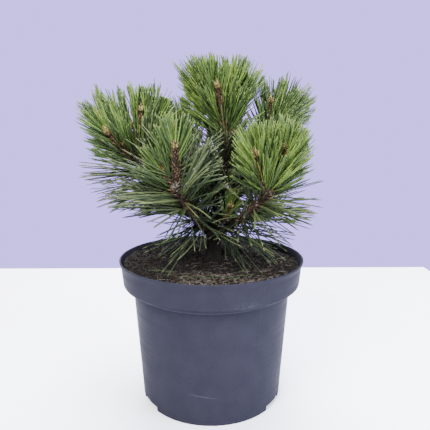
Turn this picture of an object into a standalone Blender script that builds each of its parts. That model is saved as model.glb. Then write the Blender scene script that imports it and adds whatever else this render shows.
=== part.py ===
"""A dwarf Austrian pine in a round nursery pot, built piece by piece in metres with +Z up.

The pot stands on the plane z = 0 with its axis on +Z, and -Y is the plant's front.
Sizes below are in millimetres and angles in degrees. Headings are counted from +X
towards +Y. Each bough leaves the trunk, ends short of its whorl, and a mass of needles
grows on from its tip: a stem, young shoots from the whorl, and needles set round both.
"""

import math
import random

import bmesh
import bpy
import numpy as np
from mathutils import Vector

MM = 0.001
GAP = 0.3
GOLDEN_ANGLE = math.radians(137.508)

# The pot
POT_HEIGHT = 148.0
RIM_RADIUS = 95.0
COLLAR_BAND = 23.0
COLLAR_SLOPE = 8.0
COLLAR_RADIUS = 90.6
NECK_RADIUS = 81.2
BASE_RADIUS = 73.4
WALL = 1.8
LIP_HEIGHT = 2.2
LIP_OVERHANG = 1.6
FLOOR_LIFT = 4.0
FLOOR_THICKNESS = 1.8
NECK_HEIGHT = POT_HEIGHT - COLLAR_BAND - COLLAR_SLOPE
BAND_HEIGHT = POT_HEIGHT - COLLAR_BAND
COLLAR_TOP_RADIUS = RIM_RADIUS - LIP_OVERHANG
FLOOR_TOP = FLOOR_LIFT + FLOOR_THICKNESS
PAD_RADIUS = 22.0
FOOT_WIDTH = 6.0
FOOT_CHAMFER = 0.8
SIDES = 48
NOTCH_HEADINGS = (90.0, 210.0, 330.0)
NOTCH_ARC = 24.0
NOTCH_MARGIN = 3.0

# The soil
SOIL_TOP = 143.0
SOIL_EDGE_DROP = 2.4
SOIL_FLAT_RADIUS = 20.0
SOIL_BUMP = 1.3
SOIL_RINGS = 5
SOIL_INSET = 0.4

# The trunk
TRUNK_TOP = 254.0
TRUNK_FOOT_OFFSET = 1.0
TRUNK_LEAN = 14.0
TRUNK_LEAN_POWER = 1.2
TRUNK_BOW = 2.0
TRUNK_FOOT_RADIUS = 8.2
TRUNK_TOP_RADIUS = 4.2
FLARE = 4.6
FLARE_HEIGHT = 13.0
FLARE_LOBES = 5
FLARE_LOBE_DEPTH = 0.4
TRUNK_SIDES = 15
TRUNK_RINGS = 12
TRUNK_RING_CROWDING = 1.35

# Boughs, the stems of masses, and young shoots
BOUGH_ROOT_RADIUS = 4.9
BOUGH_TIP_RADIUS = 3.9
STEM_RADIUS = 3.6
WHORL_RADIUS = 3.0
BOUGH_SIDES = 10
BOUGH_RINGS = 6
BOUGH_SHARE = 0.4
BOUGH_SAG = 0.36
BOUGH_TAPER_POWER = 0.7
STEM_SIDES = 6
STEM_RINGS = 4
SHOOT_ROOT_RADIUS = 2.3
SHOOT_RADIUS = 2.9
BUD_RADIUS = 2.2
BUD_POINT_RADIUS = 0.7
BUD_SHARE = 0.16
SHOOT_BELLY_SHARE = 0.35
SHOOT_SINK = 1.5

# Needles: each blade stands for a spray of them, with a tooth for each bundle
YOUNG_STEP = 2.6
YOUNG_FIRST = 0.12
YOUNG_LAST = 0.92
YOUNG_TEETH = 3
YOUNG_FAN = 12.0
YOUNG_TIP_SHARE = 0.72
YOUNG_SPREAD_ROOT = 52.0
YOUNG_SPREAD_TIP = 15.0
YOUNG_SPREAD_POWER = 0.8
OLD_STEP = 1.7
OLD_TEETH = 2
OLD_FAN = 5.0
OLD_SPREAD_ROOT = 98.0
OLD_SPREAD_TIP = 45.0
SPREAD_SCATTER = 6.0
LENGTH_SCATTER = 0.08
ROLL_SCATTER = 1.0
DROOP = 0.12
BLADE_THICKNESS = 2.2
BLADE_BELLY = 0.36
VALLEY = 0.60
ROOT_SINK = 2.2
SHORTEST = 0.6
FIRST_SAMPLE = 0.1
SAMPLES = 14
BARE_STEM = 4.5
SOIL_CLEARANCE = 2.0
LIMB_CLEARANCE = 0.6
SPACE_CLEARANCE = 1.4
OWN_SHOOT_SLACK = 5.0

# Colours, with the roughness of each surface
POT_PLASTIC = ("pot_plastic", (0.052, 0.055, 0.078), 0.42)
POTTING_SOIL = ("potting_soil", (0.035, 0.024, 0.018), 0.95)
BARK = ("bark", (0.070, 0.048, 0.034), 0.9)
PINE_NEEDLES = ("pine_needles", (0.105, 0.190, 0.060), 0.5)
POT_SHARP_ANGLE = 30.0
BARK_SHARP_ANGLE = 50.0


class Mass:
    """A mass of needles: where its bough roots, where its whorl is, and its shoots."""

    def __init__(self, name, root_height, heading, reach, height, young, old, shoots, girth=1.0):
        self.name = name
        self.root_height = root_height
        self.heading = heading
        self.reach = reach
        self.height = height
        self.young = young
        self.old = old
        self.shoots = shoots
        self.girth = girth


# Name, height of the bough's root, heading, reach and height of its whorl, lengths of
# young and old needles, and the heading, lean from upright and length of each shoot.
MASSES = (
    Mass("front_left", 168, 237, 59, 222, 35, 66, ((270, 11, 46), (170, 32, 28))),
    Mass(
        "left", 182, 190, 71, 243, 38, 58,
        ((222, 46, 52), (167, 39, 66), (90, 12, 60), (48, 22, 62)),
    ),
    Mass(
        "front_right", 170, 320, 68, 218, 36, 57,
        ((215, 21, 45), (186, 4, 46), (346, 17, 50), (34, 29, 50)),
    ),
    Mass("right_back", 204, 21, 62, 262, 36, 46, ((62, 13, 51), (36, 47, 66))),
    Mass("left_back", 212, 122, 46, 256, 30, 42, ((128, 22, 42),)),
    Mass("rear_left", 174, 127, 67, 218, 37, 62, ((149, 32, 44), (75, 26, 48))),
    Mass("rear_right", 178, 58, 71, 222, 37, 62, ((101, 25, 47), (23, 34, 45))),
)
# The leader's shoots spring from the trunk's tip, and a short shoot from low on its side.
LEADER = Mass(
    "top", TRUNK_TOP, 0, 15, 270, 38, 42,
    ((222, 13, 55), (42, 10, 62), (172, 29, 63), (33, 25, 57), (88, 31, 54)),
)
FOOT_SHOOT = Mass("low", 184, 298, 29, 191, 20, 0, ((330, 20, 18),), girth=0.6)


def polar(heading, radius, height):
    """The point at a heading and a radius from the pot's axis."""
    angle = math.radians(heading)
    return Vector((radius * math.cos(angle), radius * math.sin(angle), height))


def curve_point(start, pull, end, share):
    """The point at a share of the way along the curve from start to end."""
    rest = 1.0 - share
    return start * rest * rest + pull * 2.0 * rest * share + end * share * share


def trunk_point(height):
    """The trunk's centre at a height: it leans to +X and bows a little to the back."""
    share = (height - SOIL_TOP) / (TRUNK_TOP - SOIL_TOP)
    lean = TRUNK_FOOT_OFFSET + TRUNK_LEAN * share ** TRUNK_LEAN_POWER
    return Vector((lean, TRUNK_BOW * math.sin(math.pi * share), height))


def trunk_radius(height):
    """The trunk's radius at a height, without its root flare."""
    share = (height - SOIL_TOP) / (TRUNK_TOP - SOIL_TOP)
    return TRUNK_FOOT_RADIUS + (TRUNK_TOP_RADIUS - TRUNK_FOOT_RADIUS) * share


def bough_curve(mass):
    """Start, pull and end of the curve from the trunk's centre to the mass's whorl."""
    root = trunk_point(mass.root_height)
    whorl = polar(mass.heading, mass.reach, mass.height)
    pull = root.lerp(whorl, 0.5)
    pull.z = root.z + BOUGH_SAG * (whorl.z - root.z)
    return root, pull, whorl


def bough_radius(share):
    """A bough's radius at a share of the way from its root to its tip."""
    return BOUGH_ROOT_RADIUS + (BOUGH_TIP_RADIUS - BOUGH_ROOT_RADIUS) * share ** BOUGH_TAPER_POWER


def shoot_end(mass, shoot):
    """The tip of a shoot's bud."""
    heading, lean, length = shoot
    side = length * math.sin(math.radians(lean))
    whorl = polar(mass.heading, mass.reach, mass.height)
    return whorl + polar(heading, side, length * math.cos(math.radians(lean)))


def across(direction):
    """Two unit vectors square to a direction and to each other."""
    helper = Vector((0.0, 0.0, 1.0)) if abs(direction.z) < 0.9 else Vector((1.0, 0.0, 0.0))
    first = direction.cross(helper).normalized()
    return first, direction.cross(first).normalized()


def new_object(name, bm, collection=None):
    """A mesh object of the bmesh's shape, scaled from millimetres to metres."""
    bmesh.ops.scale(bm, vec=(MM, MM, MM), verts=bm.verts)
    bmesh.ops.recalc_face_normals(bm, faces=bm.faces)
    mesh = bpy.data.meshes.new(name)
    bm.to_mesh(mesh)
    bm.free()
    obj = bpy.data.objects.new(name, mesh)
    (collection or bpy.context.scene.collection).objects.link(obj)
    return obj


def material(name, colour, roughness):
    """A Principled material of one colour, made once."""
    made = bpy.data.materials.get(name)
    if made is None:
        made = bpy.data.materials.new(name)
        made.use_nodes = True
        shader = made.node_tree.nodes["Principled BSDF"]
        shader.inputs["Base Color"].default_value = (*colour, 1.0)
        shader.inputs["Roughness"].default_value = roughness
        made.diffuse_color = (*colour, 1.0)
    return made


def finish(obj, made, smooth_below=None):
    """Give an object its one material, and smooth shading where its faces meet gently."""
    obj.data.materials.clear()
    obj.data.materials.append(made)
    if smooth_below is not None:
        obj.data.shade_smooth()
        obj.data.set_sharp_from_angle(angle=math.radians(smooth_below))


def tube(name, points, radii, sides, collection=None, lobes=None):
    """A closed tube through points, with a radius at each and flat ends."""
    bm = bmesh.new()
    rings = []
    first = None
    for index, point in enumerate(points):
        before = points[max(index - 1, 0)]
        after = points[min(index + 1, len(points) - 1)]
        along = (after - before).normalized()
        if first is None:
            first, second = across(along)
        else:
            first = (first - along * first.dot(along)).normalized()
            second = along.cross(first)
        ring = []
        for side in range(sides):
            angle = 2.0 * math.pi * side / sides
            radius = radii[index] + (lobes(point, angle) if lobes else 0.0)
            outward = first * math.cos(angle) + second * math.sin(angle)
            ring.append(bm.verts.new(point + outward * radius))
        rings.append(ring)
    for lower, upper in zip(rings, rings[1:]):
        for side in range(sides):
            after = (side + 1) % sides
            bm.faces.new((lower[side], lower[after], upper[after], upper[side]))
    bm.faces.new(rings[0][::-1])
    bm.faces.new(rings[-1])
    return new_object(name, bm, collection)


def blade(root, tips, collection):
    """A toothed blade: a point for each tip, a valley between them, and a belly on both faces."""
    middle = sum(tips, Vector()) / len(tips)
    outline = [root]
    for index, tip in enumerate(tips):
        if index > 0:
            outline.append(root.lerp((tips[index - 1] + tip) * 0.5, VALLEY))
        outline.append(tip)
    belly = root.lerp(middle, BLADE_BELLY)
    lift = (tips[-1] - tips[0]).cross(middle - root).normalized() * (0.5 * BLADE_THICKNESS)
    bm = bmesh.new()
    rim = [bm.verts.new(point) for point in outline]
    for centre in (bm.verts.new(belly + lift), bm.verts.new(belly - lift)):
        for index, vert in enumerate(rim):
            bm.faces.new((vert, rim[(index + 1) % len(rim)], centre))
    return new_object("blade", bm, collection)


def turned(name, outline):
    """A solid turned about +Z from an outline of (radius, height) points that ends on the axis."""
    bm = bmesh.new()
    verts = [bm.verts.new((radius, 0.0, height)) for radius, height in outline]
    edges = [bm.edges.new(pair) for pair in zip(verts, verts[1:])]
    bmesh.ops.spin(
        bm, geom=verts + edges, cent=(0, 0, 0), axis=(0, 0, 1),
        angle=2.0 * math.pi, steps=SIDES, use_merge=True, use_duplicate=False,
    )
    bmesh.ops.remove_doubles(bm, verts=bm.verts, dist=0.001)
    return new_object(name, bm)


def boolean(obj, operation, cutter=None, collection=None):
    """Apply one Boolean to an object and keep its result as the object's mesh."""
    modifier = obj.modifiers.new("boolean", "BOOLEAN")
    modifier.operation = operation
    modifier.solver = "EXACT"
    if collection is not None:
        modifier.operand_type = "COLLECTION"
        modifier.collection = collection
    else:
        modifier.object = cutter
    evaluated = obj.evaluated_get(bpy.context.evaluated_depsgraph_get())
    result = bpy.data.meshes.new_from_object(evaluated)
    obj.modifiers.clear()
    spent = obj.data
    obj.data = result
    bpy.data.meshes.remove(spent)


def remove_all(objects):
    """Remove objects and their meshes."""
    for obj in list(objects):
        mesh = obj.data
        bpy.data.objects.remove(obj)
        bpy.data.meshes.remove(mesh)


def keep_outer_shell(obj):
    """Drop loose scraps and sealed hollows, and keep the shell with the most corners."""
    bm = bmesh.new()
    bm.from_mesh(obj.data)
    left = set(bm.verts)
    shells = []
    while left:
        shell = set()
        front = [left.pop()]
        while front:
            vert = front.pop()
            shell.add(vert)
            for edge in vert.link_edges:
                other = edge.other_vert(vert)
                if other in left:
                    left.remove(other)
                    front.append(other)
        shells.append(shell)
    shells.sort(key=len)
    for shell in shells[:-1]:
        bmesh.ops.delete(bm, geom=list(shell), context="VERTS")
    bm.to_mesh(obj.data)
    bm.free()


def inner_radius(height):
    """The radius of the pot's inner face: tapered wall, then the collar's slope and band."""
    corners = (
        (0.0, BASE_RADIUS),
        (NECK_HEIGHT, NECK_RADIUS),
        (BAND_HEIGHT, COLLAR_RADIUS),
        (POT_HEIGHT, COLLAR_TOP_RADIUS),
    )
    for (low, narrow), (high, wide) in zip(corners, corners[1:]):
        if height <= high:
            return narrow + (wide - narrow) * (height - low) / (high - low) - WALL
    return COLLAR_TOP_RADIUS - WALL


def make_pot():
    """The pot: tapered wall, wide collar, lip, lifted floor with a centre pad, and a notched foot."""
    lip = POT_HEIGHT - LIP_HEIGHT
    foot_inside = BASE_RADIUS - FOOT_WIDTH
    outline = (
        (0.0, 0.0),
        (PAD_RADIUS, 0.0),
        (PAD_RADIUS + FOOT_CHAMFER, FLOOR_LIFT),
        (foot_inside, FLOOR_LIFT),
        (foot_inside + FOOT_CHAMFER, 0.0),
        (BASE_RADIUS - FOOT_CHAMFER, 0.0),
        (BASE_RADIUS, FOOT_CHAMFER),
        (NECK_RADIUS, NECK_HEIGHT),
        (COLLAR_RADIUS, BAND_HEIGHT),
        (COLLAR_TOP_RADIUS, lip),
        (RIM_RADIUS, lip),
        (RIM_RADIUS, POT_HEIGHT),
        (inner_radius(POT_HEIGHT), POT_HEIGHT),
        (inner_radius(BAND_HEIGHT), BAND_HEIGHT),
        (inner_radius(NECK_HEIGHT), NECK_HEIGHT),
        (inner_radius(FLOOR_TOP), FLOOR_TOP),
        (0.0, FLOOR_TOP),
    )
    pot = turned("pot", outline)
    for heading in NOTCH_HEADINGS:
        cutter = make_notch(heading, foot_inside - NOTCH_MARGIN, BASE_RADIUS + NOTCH_MARGIN)
        boolean(pot, "DIFFERENCE", cutter)
        remove_all([cutter])
    finish(pot, material(*POT_PLASTIC), POT_SHARP_ANGLE)


def make_notch(heading, inside, outside):
    """A cutter for one drain notch: a bent bar that crosses the foot below the floor."""
    bm = bmesh.new()
    corners = (
        (inside, -NOTCH_MARGIN),
        (outside, -NOTCH_MARGIN),
        (outside, FLOOR_LIFT),
        (inside, FLOOR_LIFT),
    )
    columns = []
    for turn in (-0.5 * NOTCH_ARC, 0.0, 0.5 * NOTCH_ARC):
        columns.append([bm.verts.new(polar(heading + turn, radius, height)) for radius, height in corners])
    for left, right in zip(columns, columns[1:]):
        for corner in range(4):
            after = (corner + 1) % 4
            bm.faces.new((left[corner], left[after], right[after], right[corner]))
    bm.faces.new(columns[0])
    bm.faces.new(columns[-1])
    return new_object("notch", bm)


def soil_height(radius, angle):
    """The height of the soil: flat round the trunk, lumpy further out, lower at the wall."""
    out = max(0.0, (radius - SOIL_FLAT_RADIUS) / (NECK_RADIUS - SOIL_FLAT_RADIUS))
    lumps = math.sin(3.0 * angle + 0.11 * radius) + 0.6 * math.sin(7.0 * angle - 0.2 * radius)
    return SOIL_TOP - SOIL_EDGE_DROP * out * out + SOIL_BUMP * lumps * min(1.0, 2.0 * out)


def make_soil():
    """The soil: one plug that fills the pot, clear of its wall and floor."""
    bm = bmesh.new()
    rings = []
    edge_height = SOIL_TOP - SOIL_EDGE_DROP
    edge_radius = inner_radius(edge_height) - SOIL_INSET
    for height in (FLOOR_TOP + GAP, NECK_HEIGHT, BAND_HEIGHT, edge_height):
        radius = inner_radius(height) - SOIL_INSET
        rings.append([bm.verts.new(polar(360.0 * side / SIDES, radius, height)) for side in range(SIDES)])
    for step in range(1, SOIL_RINGS + 1):
        radius = edge_radius + (SOIL_FLAT_RADIUS - edge_radius) * step / SOIL_RINGS
        ring = []
        for side in range(SIDES):
            heading = 360.0 * side / SIDES
            ring.append(bm.verts.new(polar(heading, radius, soil_height(radius, math.radians(heading)))))
        rings.append(ring)
    for lower, upper in zip(rings, rings[1:]):
        for side in range(SIDES):
            after = (side + 1) % SIDES
            bm.faces.new((lower[side], lower[after], upper[after], upper[side]))
    bm.faces.new(rings[0][::-1])
    bm.faces.new(rings[-1])
    finish(new_object("soil", bm), material(*POTTING_SOIL))


def flare(point, angle):
    """What the root flare adds to the trunk's radius: five lobes that fade upwards."""
    fade = max(0.0, 1.0 - (point.z - SOIL_TOP) / FLARE_HEIGHT) ** 2
    return FLARE * fade * (1.0 - FLARE_LOBE_DEPTH * (1.0 - math.cos(FLARE_LOBES * angle)))


def make_trunk(name, grow=0.0):
    """The trunk, from its flat cut on the soil to its tip, or a cutter that is grown all round."""
    points = []
    radii = []
    foot = SOIL_TOP + GAP - grow
    for ring in range(TRUNK_RINGS + 1):
        share = (ring / TRUNK_RINGS) ** TRUNK_RING_CROWDING
        height = foot + (TRUNK_TOP + grow - foot) * share
        points.append(trunk_point(height))
        radii.append(trunk_radius(height) + grow)
    trunk = tube(name, points, radii, TRUNK_SIDES, lobes=flare)
    # Both ends lie flat, whatever way the trunk leans there.
    for vert in trunk.data.vertices[:TRUNK_SIDES]:
        vert.co.z = foot * MM
    for vert in trunk.data.vertices[-TRUNK_SIDES:]:
        vert.co.z = (TRUNK_TOP + grow) * MM
    return trunk


def make_bough(mass, trunk_cutter):
    """One tapering limb from the trunk's side to the split where its mass goes on."""
    start, pull, end = bough_curve(mass)
    points = []
    radii = []
    for ring in range(BOUGH_RINGS + 1):
        share = ring / BOUGH_RINGS
        points.append(curve_point(start, pull, end, share * BOUGH_SHARE))
        radii.append(bough_radius(share))
    bough = tube("bough_" + mass.name, points, radii, BOUGH_SIDES)
    boolean(bough, "DIFFERENCE", trunk_cutter)
    keep_outer_shell(bough)
    finish(bough, material(*BARK), BARK_SHARP_ANGLE)


def stem_points(mass):
    """The points of the stem that carries a mass, from its limb's end to its whorl."""
    whorl = polar(mass.heading, mass.reach, mass.height)
    if mass is LEADER:
        return [trunk_point(TRUNK_TOP) + Vector((0.0, 0.0, GAP)), whorl]
    start, pull, end = bough_curve(mass)
    if mass is FOOT_SHOOT:
        return [start, pull, end]
    length = (end - start).length
    first = BOUGH_SHARE + GAP / length
    points = []
    for ring in range(STEM_RINGS + 1):
        points.append(curve_point(start, pull, end, first + (1.0 - first) * ring / STEM_RINGS))
    return points


def spine(mass):
    """The segments of a mass's stem and shoots, each as a pair of points."""
    points = stem_points(mass)
    pairs = list(zip(points, points[1:]))
    for shoot in mass.shoots:
        pairs.append((points[-1], shoot_end(mass, shoot)))
    return pairs


def distances(samples, pairs):
    """How far each sample lies from each segment, as a table of samples by segments."""
    starts = np.array([tuple(pair[0]) for pair in pairs])
    ends = np.array([tuple(pair[1]) for pair in pairs])
    along = ends - starts
    offset = samples[:, None, :] - starts[None, :, :]
    share = np.einsum("spk,pk->sp", offset, along) / np.einsum("pk,pk->p", along, along)
    nearest = starts[None] + np.clip(share, 0.0, 1.0)[:, :, None] * along[None]
    return np.linalg.norm(samples[:, None, :] - nearest, axis=2)


class Surroundings:
    """What a mass's needles keep clear of: other masses' spaces, limbs and the soil."""

    def __init__(self, mass, masses):
        self.own = spine(mass)
        self.others = [pair for other in masses if other is not mass for pair in spine(other)]
        self.limbs = []
        self.limb_radii = []
        heights = np.linspace(SOIL_TOP, TRUNK_TOP, TRUNK_RINGS)
        for low, high in zip(heights, heights[1:]):
            self.limbs.append((trunk_point(low), trunk_point(high)))
            self.limb_radii.append(trunk_radius(low) + flare(trunk_point(low), 0.0))
        for other in MASSES:
            start, pull, end = bough_curve(other)
            joints = [
                curve_point(start, pull, end, BOUGH_SHARE * ring / BOUGH_RINGS)
                for ring in range(BOUGH_RINGS + 1)
            ]
            for ring in range(BOUGH_RINGS):
                self.limbs.append((joints[ring], joints[ring + 1]))
                self.limb_radii.append(bough_radius(ring / BOUGH_RINGS))

    def clear(self, root, tips, shoot):
        """Whether a blade stays in its mass's space, clear of limbs, soil and rim."""
        shares = np.linspace(FIRST_SAMPLE, 1.0, SAMPLES)[:, None]
        start = np.array(root)
        samples = np.concatenate([start + shares * (np.array(tip) - start) for tip in tips])
        if samples[:, 2].min() < POT_HEIGHT + SOIL_CLEARANCE:
            return False
        own = distances(samples, self.own)
        nearest_own = own.min(axis=1)
        foreign = distances(samples, self.others).min(axis=1)
        if (nearest_own + SPACE_CLEARANCE > foreign).any():
            return False
        if shoot is not None and (own[:, shoot] > nearest_own + OWN_SHOOT_SLACK).any():
            return False
        limbs = distances(samples, self.limbs) - np.array(self.limb_radii)
        return bool(limbs.min() > 0.5 * BLADE_THICKNESS + LIMB_CLEARANCE)


def blades_round(rng, start, end, step, teeth, fan, length_at, spread_at, droop):
    """Blades set round a segment by the golden angle, as pairs of a root and its tips."""
    along = (end - start).normalized()
    first, second = across(along)
    count = max(1, round((end - start).length / step))
    turn = rng.uniform(0.0, 2.0 * math.pi)
    for index in range(count):
        share = (index + 0.5) / count
        turn += GOLDEN_ANGLE
        outward = first * math.cos(turn) + second * math.sin(turn)
        spread = math.radians(spread_at(share) + rng.uniform(-SPREAD_SCATTER, SPREAD_SCATTER))
        pointing = along * math.cos(spread) + outward * math.sin(spread)
        pointing.z -= droop * rng.uniform(0.4, 1.0)
        pointing.normalize()
        roll = rng.uniform(-ROLL_SCATTER, ROLL_SCATTER)
        round_about = along.cross(outward)
        side = round_about * math.cos(roll) + pointing.cross(round_about) * math.sin(roll)
        root = start.lerp(end, share) - pointing * ROOT_SINK
        tips = []
        for tooth in range(teeth):
            turned_by = math.radians(fan) * (2.0 * tooth / (teeth - 1) - 1.0)
            length = length_at(share) * (1.0 + rng.uniform(-LENGTH_SCATTER, LENGTH_SCATTER))
            toward = pointing * math.cos(turned_by) + side * math.sin(turned_by)
            tips.append(root + toward * (length + ROOT_SINK))
        yield root, tips


def young_blades(rng, mass, shoot, whorl):
    """The needles of one young shoot: wide apart at its foot, gathered round its bud."""
    tip = shoot_end(mass, shoot)
    yield from blades_round(
        rng, whorl.lerp(tip, YOUNG_FIRST), whorl.lerp(tip, YOUNG_LAST),
        YOUNG_STEP, YOUNG_TEETH, YOUNG_FAN,
        lambda share: mass.young * (1.0 - (1.0 - YOUNG_TIP_SHARE) * share * share),
        lambda share: YOUNG_SPREAD_ROOT
        + (YOUNG_SPREAD_TIP - YOUNG_SPREAD_ROOT) * share ** YOUNG_SPREAD_POWER,
        0.0,
    )


def old_blades(rng, mass, points):
    """Last year's long needles along the stem, which splay back from the whorl."""
    segments = len(points) - 1
    for index in range(segments):
        start = points[index]
        if index == 0:
            start = start + (points[1] - start).normalized() * BARE_STEM

        def spread(share, index=index):
            whole = (index + share) / segments
            return OLD_SPREAD_ROOT + (OLD_SPREAD_TIP - OLD_SPREAD_ROOT) * whole
        yield from blades_round(
            rng, start, points[index + 1], OLD_STEP, OLD_TEETH, OLD_FAN,
            lambda share: mass.old, spread, DROOP,
        )


def plant_blades(pairs, around, shoot, collection):
    """Make each blade that fits, shortened where its full length would not."""
    for root, tips in pairs:
        length = 1.0
        while length >= SHORTEST:
            ends = [root.lerp(tip, length) for tip in tips]
            if around.clear(root, ends, shoot):
                blade(root, ends, collection)
                break
            length -= 0.1


def make_mass(mass, masses, seed, trunk_cutter):
    """One mass: stem, shoots with their buds, and needles, joined into a single solid."""
    rng = random.Random(seed)
    around = Surroundings(mass, masses)
    points = stem_points(mass)
    whorl = points[-1]
    radii = []
    for index in range(len(points)):
        share = index / (len(points) - 1)
        radii.append(mass.girth * (STEM_RADIUS + (WHORL_RADIUS - STEM_RADIUS) * share))
    stem = tube("needles_" + mass.name, points, radii, STEM_SIDES)
    members = bpy.data.collections.new("members")
    bpy.context.scene.collection.children.link(members)
    for number, shoot in enumerate(mass.shoots):
        tip = shoot_end(mass, shoot)
        back = (whorl - tip).normalized() * SHOOT_SINK
        core = [whorl + back, whorl.lerp(tip, SHOOT_BELLY_SHARE), whorl.lerp(tip, 1.0 - BUD_SHARE), tip]
        widths = (SHOOT_ROOT_RADIUS, SHOOT_RADIUS, BUD_RADIUS, BUD_POINT_RADIUS)
        tube("shoot", core, [mass.girth * width for width in widths], STEM_SIDES, members)
        place = len(points) - 1 + number
        plant_blades(young_blades(rng, mass, shoot, whorl), around, place, members)
    if mass.old:
        plant_blades(old_blades(rng, mass, points), around, None, members)
    boolean(stem, "UNION", collection=members)
    if mass is FOOT_SHOOT:
        boolean(stem, "DIFFERENCE", trunk_cutter)
    keep_outer_shell(stem)
    remove_all(members.objects)
    bpy.data.collections.remove(members)
    finish(stem, material(*PINE_NEEDLES))


def main():
    for obj in list(bpy.data.objects):
        bpy.data.objects.remove(obj)
    make_pot()
    make_soil()
    trunk = make_trunk("trunk")
    finish(trunk, material(*BARK), BARK_SHARP_ANGLE)
    trunk_cutter = make_trunk("trunk_cutter", grow=GAP)
    for mass in MASSES:
        make_bough(mass, trunk_cutter)
    masses = (*MASSES, LEADER, FOOT_SHOOT)
    for seed, mass in enumerate(masses):
        make_mass(mass, masses, seed, trunk_cutter)
    remove_all([trunk_cutter])


main()
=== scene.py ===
"""The looks of a dwarf Austrian pine in a round nursery pot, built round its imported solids.

Sizes below are in millimetres, and angles in degrees. Headings are counted from +X
towards +Y, and -Y is the plant's front. Each limb, twig and needle grows by the same
rule as in the solids, and every piece is scaled to metres when its mesh is made.
"""

import math
from collections import namedtuple

import bmesh
import bpy
import numpy as np
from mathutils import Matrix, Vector, noise


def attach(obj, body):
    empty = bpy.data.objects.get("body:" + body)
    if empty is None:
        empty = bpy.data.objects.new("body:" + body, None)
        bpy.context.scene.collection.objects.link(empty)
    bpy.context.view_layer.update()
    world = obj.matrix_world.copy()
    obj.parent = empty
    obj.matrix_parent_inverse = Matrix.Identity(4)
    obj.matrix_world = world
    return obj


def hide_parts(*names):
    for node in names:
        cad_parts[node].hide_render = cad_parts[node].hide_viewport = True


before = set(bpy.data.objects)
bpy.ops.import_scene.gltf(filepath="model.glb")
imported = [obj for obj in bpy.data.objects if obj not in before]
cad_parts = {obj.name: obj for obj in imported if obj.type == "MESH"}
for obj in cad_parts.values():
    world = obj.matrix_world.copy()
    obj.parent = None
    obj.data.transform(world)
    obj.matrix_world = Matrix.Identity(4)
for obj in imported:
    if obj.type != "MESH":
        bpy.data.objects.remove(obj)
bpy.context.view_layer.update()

MM = 0.001
CAMERA_PLACE = (-2.1, -466.1, 277.4)
CAMERA_TILT = 0.1828
CAMERA_TURN = -0.0126
LENS = 38.41
SENSOR = 36.0
GOLDEN_ANGLE = math.radians(137.508)

# The pot
POT_HEIGHT = 148.0
RIM_RADIUS = 95.0
COLLAR_RADIUS = 90.6
NECK_RADIUS = 81.2
BASE_RADIUS = 73.4
WALL = 1.8
LIP_HEIGHT = 2.2
LIP_OVERHANG = 1.6
BRIM_WIDTH = 1.5
NECK_DROP = 1.0
BAND_DROP = 2.2
BAND_SWELL = 0.8
FLOOR_LIFT = 4.0
FLOOR_TOP = 5.8
NECK_HEIGHT = 117.0
BAND_HEIGHT = 125.0
COLLAR_TOP_RADIUS = RIM_RADIUS - LIP_OVERHANG
PAD_RADIUS = 22.0
FOOT_WIDTH = 6.0
FOOT_CHAMFER = 0.8
NOTCH_HEADINGS = (90.0, 210.0, 330.0)
NOTCH_ARC = 24.0
NOTCH_HEIGHT = 5.2
NOTCH_MARGIN = 3.0
POT_STEPS = 144
SEAM_HEADING = 303.0
SEAM_HEIGHT = 0.16

# The soil
SOIL_TOP = 143.0
SOIL_EDGE_DROP = 2.4
SOIL_BANK = 2.3
SOIL_BANK_LEAN = 1.1
SOIL_FLAT_RADIUS = 20.0
SOIL_BUMP = 1.3
SOIL_INSET = 0.4
SOIL_STEPS = 150
SOIL_RINGS = 56
SOIL_SEED = 7
CRUMB_COUNT = 5200
FIBRE_COUNT = 1400
FRONT_FIBRES = 450
FALLEN_COUNT = 9
# The soil is paler and more fibrous at its front, and darker on its left, a painted shade of the pot's wall:
# each starts at the first number and is whole the second number further on.
FRONT_START = (42.0, 24.0)
FRONT_LEFT = (-52.0, 22.0)
SHADE_START = (25.0, 25.0)
# The levels between the crumbs' shades, and what the front and the side in painted shade add to each.
CRUMB_LEVELS = ((0.56, -0.50, 0.42), (0.92, -0.70, 0.07), (0.985, -0.14, 0.012))
CRUMB_SIZES = (1.0, 1.0, 0.8, 0.6)

# The trunk, boughs, stems and shoots
TRUNK_TOP = 254.0
TRUNK_FOOT_OFFSET = 1.0
TRUNK_LEAN = 14.0
TRUNK_LEAN_POWER = 1.2
TRUNK_BOW = 2.0
TRUNK_FOOT_RADIUS = 8.2
TRUNK_TOP_RADIUS = 4.2
FLARE = 4.6
FLARE_HEIGHT = 13.0
FLARE_LOBES = 5
FLARE_LOBE_DEPTH = 0.4
BOUGH_ROOT_RADIUS = 4.9
BOUGH_TIP_RADIUS = 3.9
BOUGH_SHARE = 0.4
BOUGH_SAG = 0.36
BOUGH_TAPER_POWER = 0.7
STEM_RADIUS = 3.9
WHORL_RADIUS = 3.2
SHOOT_RADII = (2.0, 2.2, 1.9, 1.5)
SHOOT_BOW = 0.05
# Sides and rings of each sleeve of bark, and the size and depth of its plates.
TRUNK_GRID = (52, 150)
BOUGH_GRID = (26, 34)
STEM_GRID = (22, 40)
SHOOT_GRID = (14, 26)
LOW_TRUNK_PLATES = (3.4, 0.75)
TRUNK_PLATES = (2.6, 0.75)
LIMB_PLATES = (2.4, 0.6)
SHOOT_PLATES = (1.6, 0.3)
COARSE_BELOW = 200.0

# The rule by which needles grow
FIRST_SEED = 20
YOUNG_FIRST = 0.02
YOUNG_LAST = 0.90
YOUNG_STEP = 0.32
YOUNG_TIP_SHARE = 0.78
YOUNG_SPREAD_ROOT = 48.0
YOUNG_SPREAD_TIP = 17.0
YOUNG_SPREAD_POWER = 0.8
OLD_STEP = 0.29
# The share of old needles that have been lost, by mass.
OLD_SPARSE = {
    "left": 0.16, "front_left": 0.3, "front_right": 0.3, "right_back": 0.3, "left_back": 0.3,
    "rear_left": 0.1, "rear_right": 0.25, "top": 0.35,
}
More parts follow.
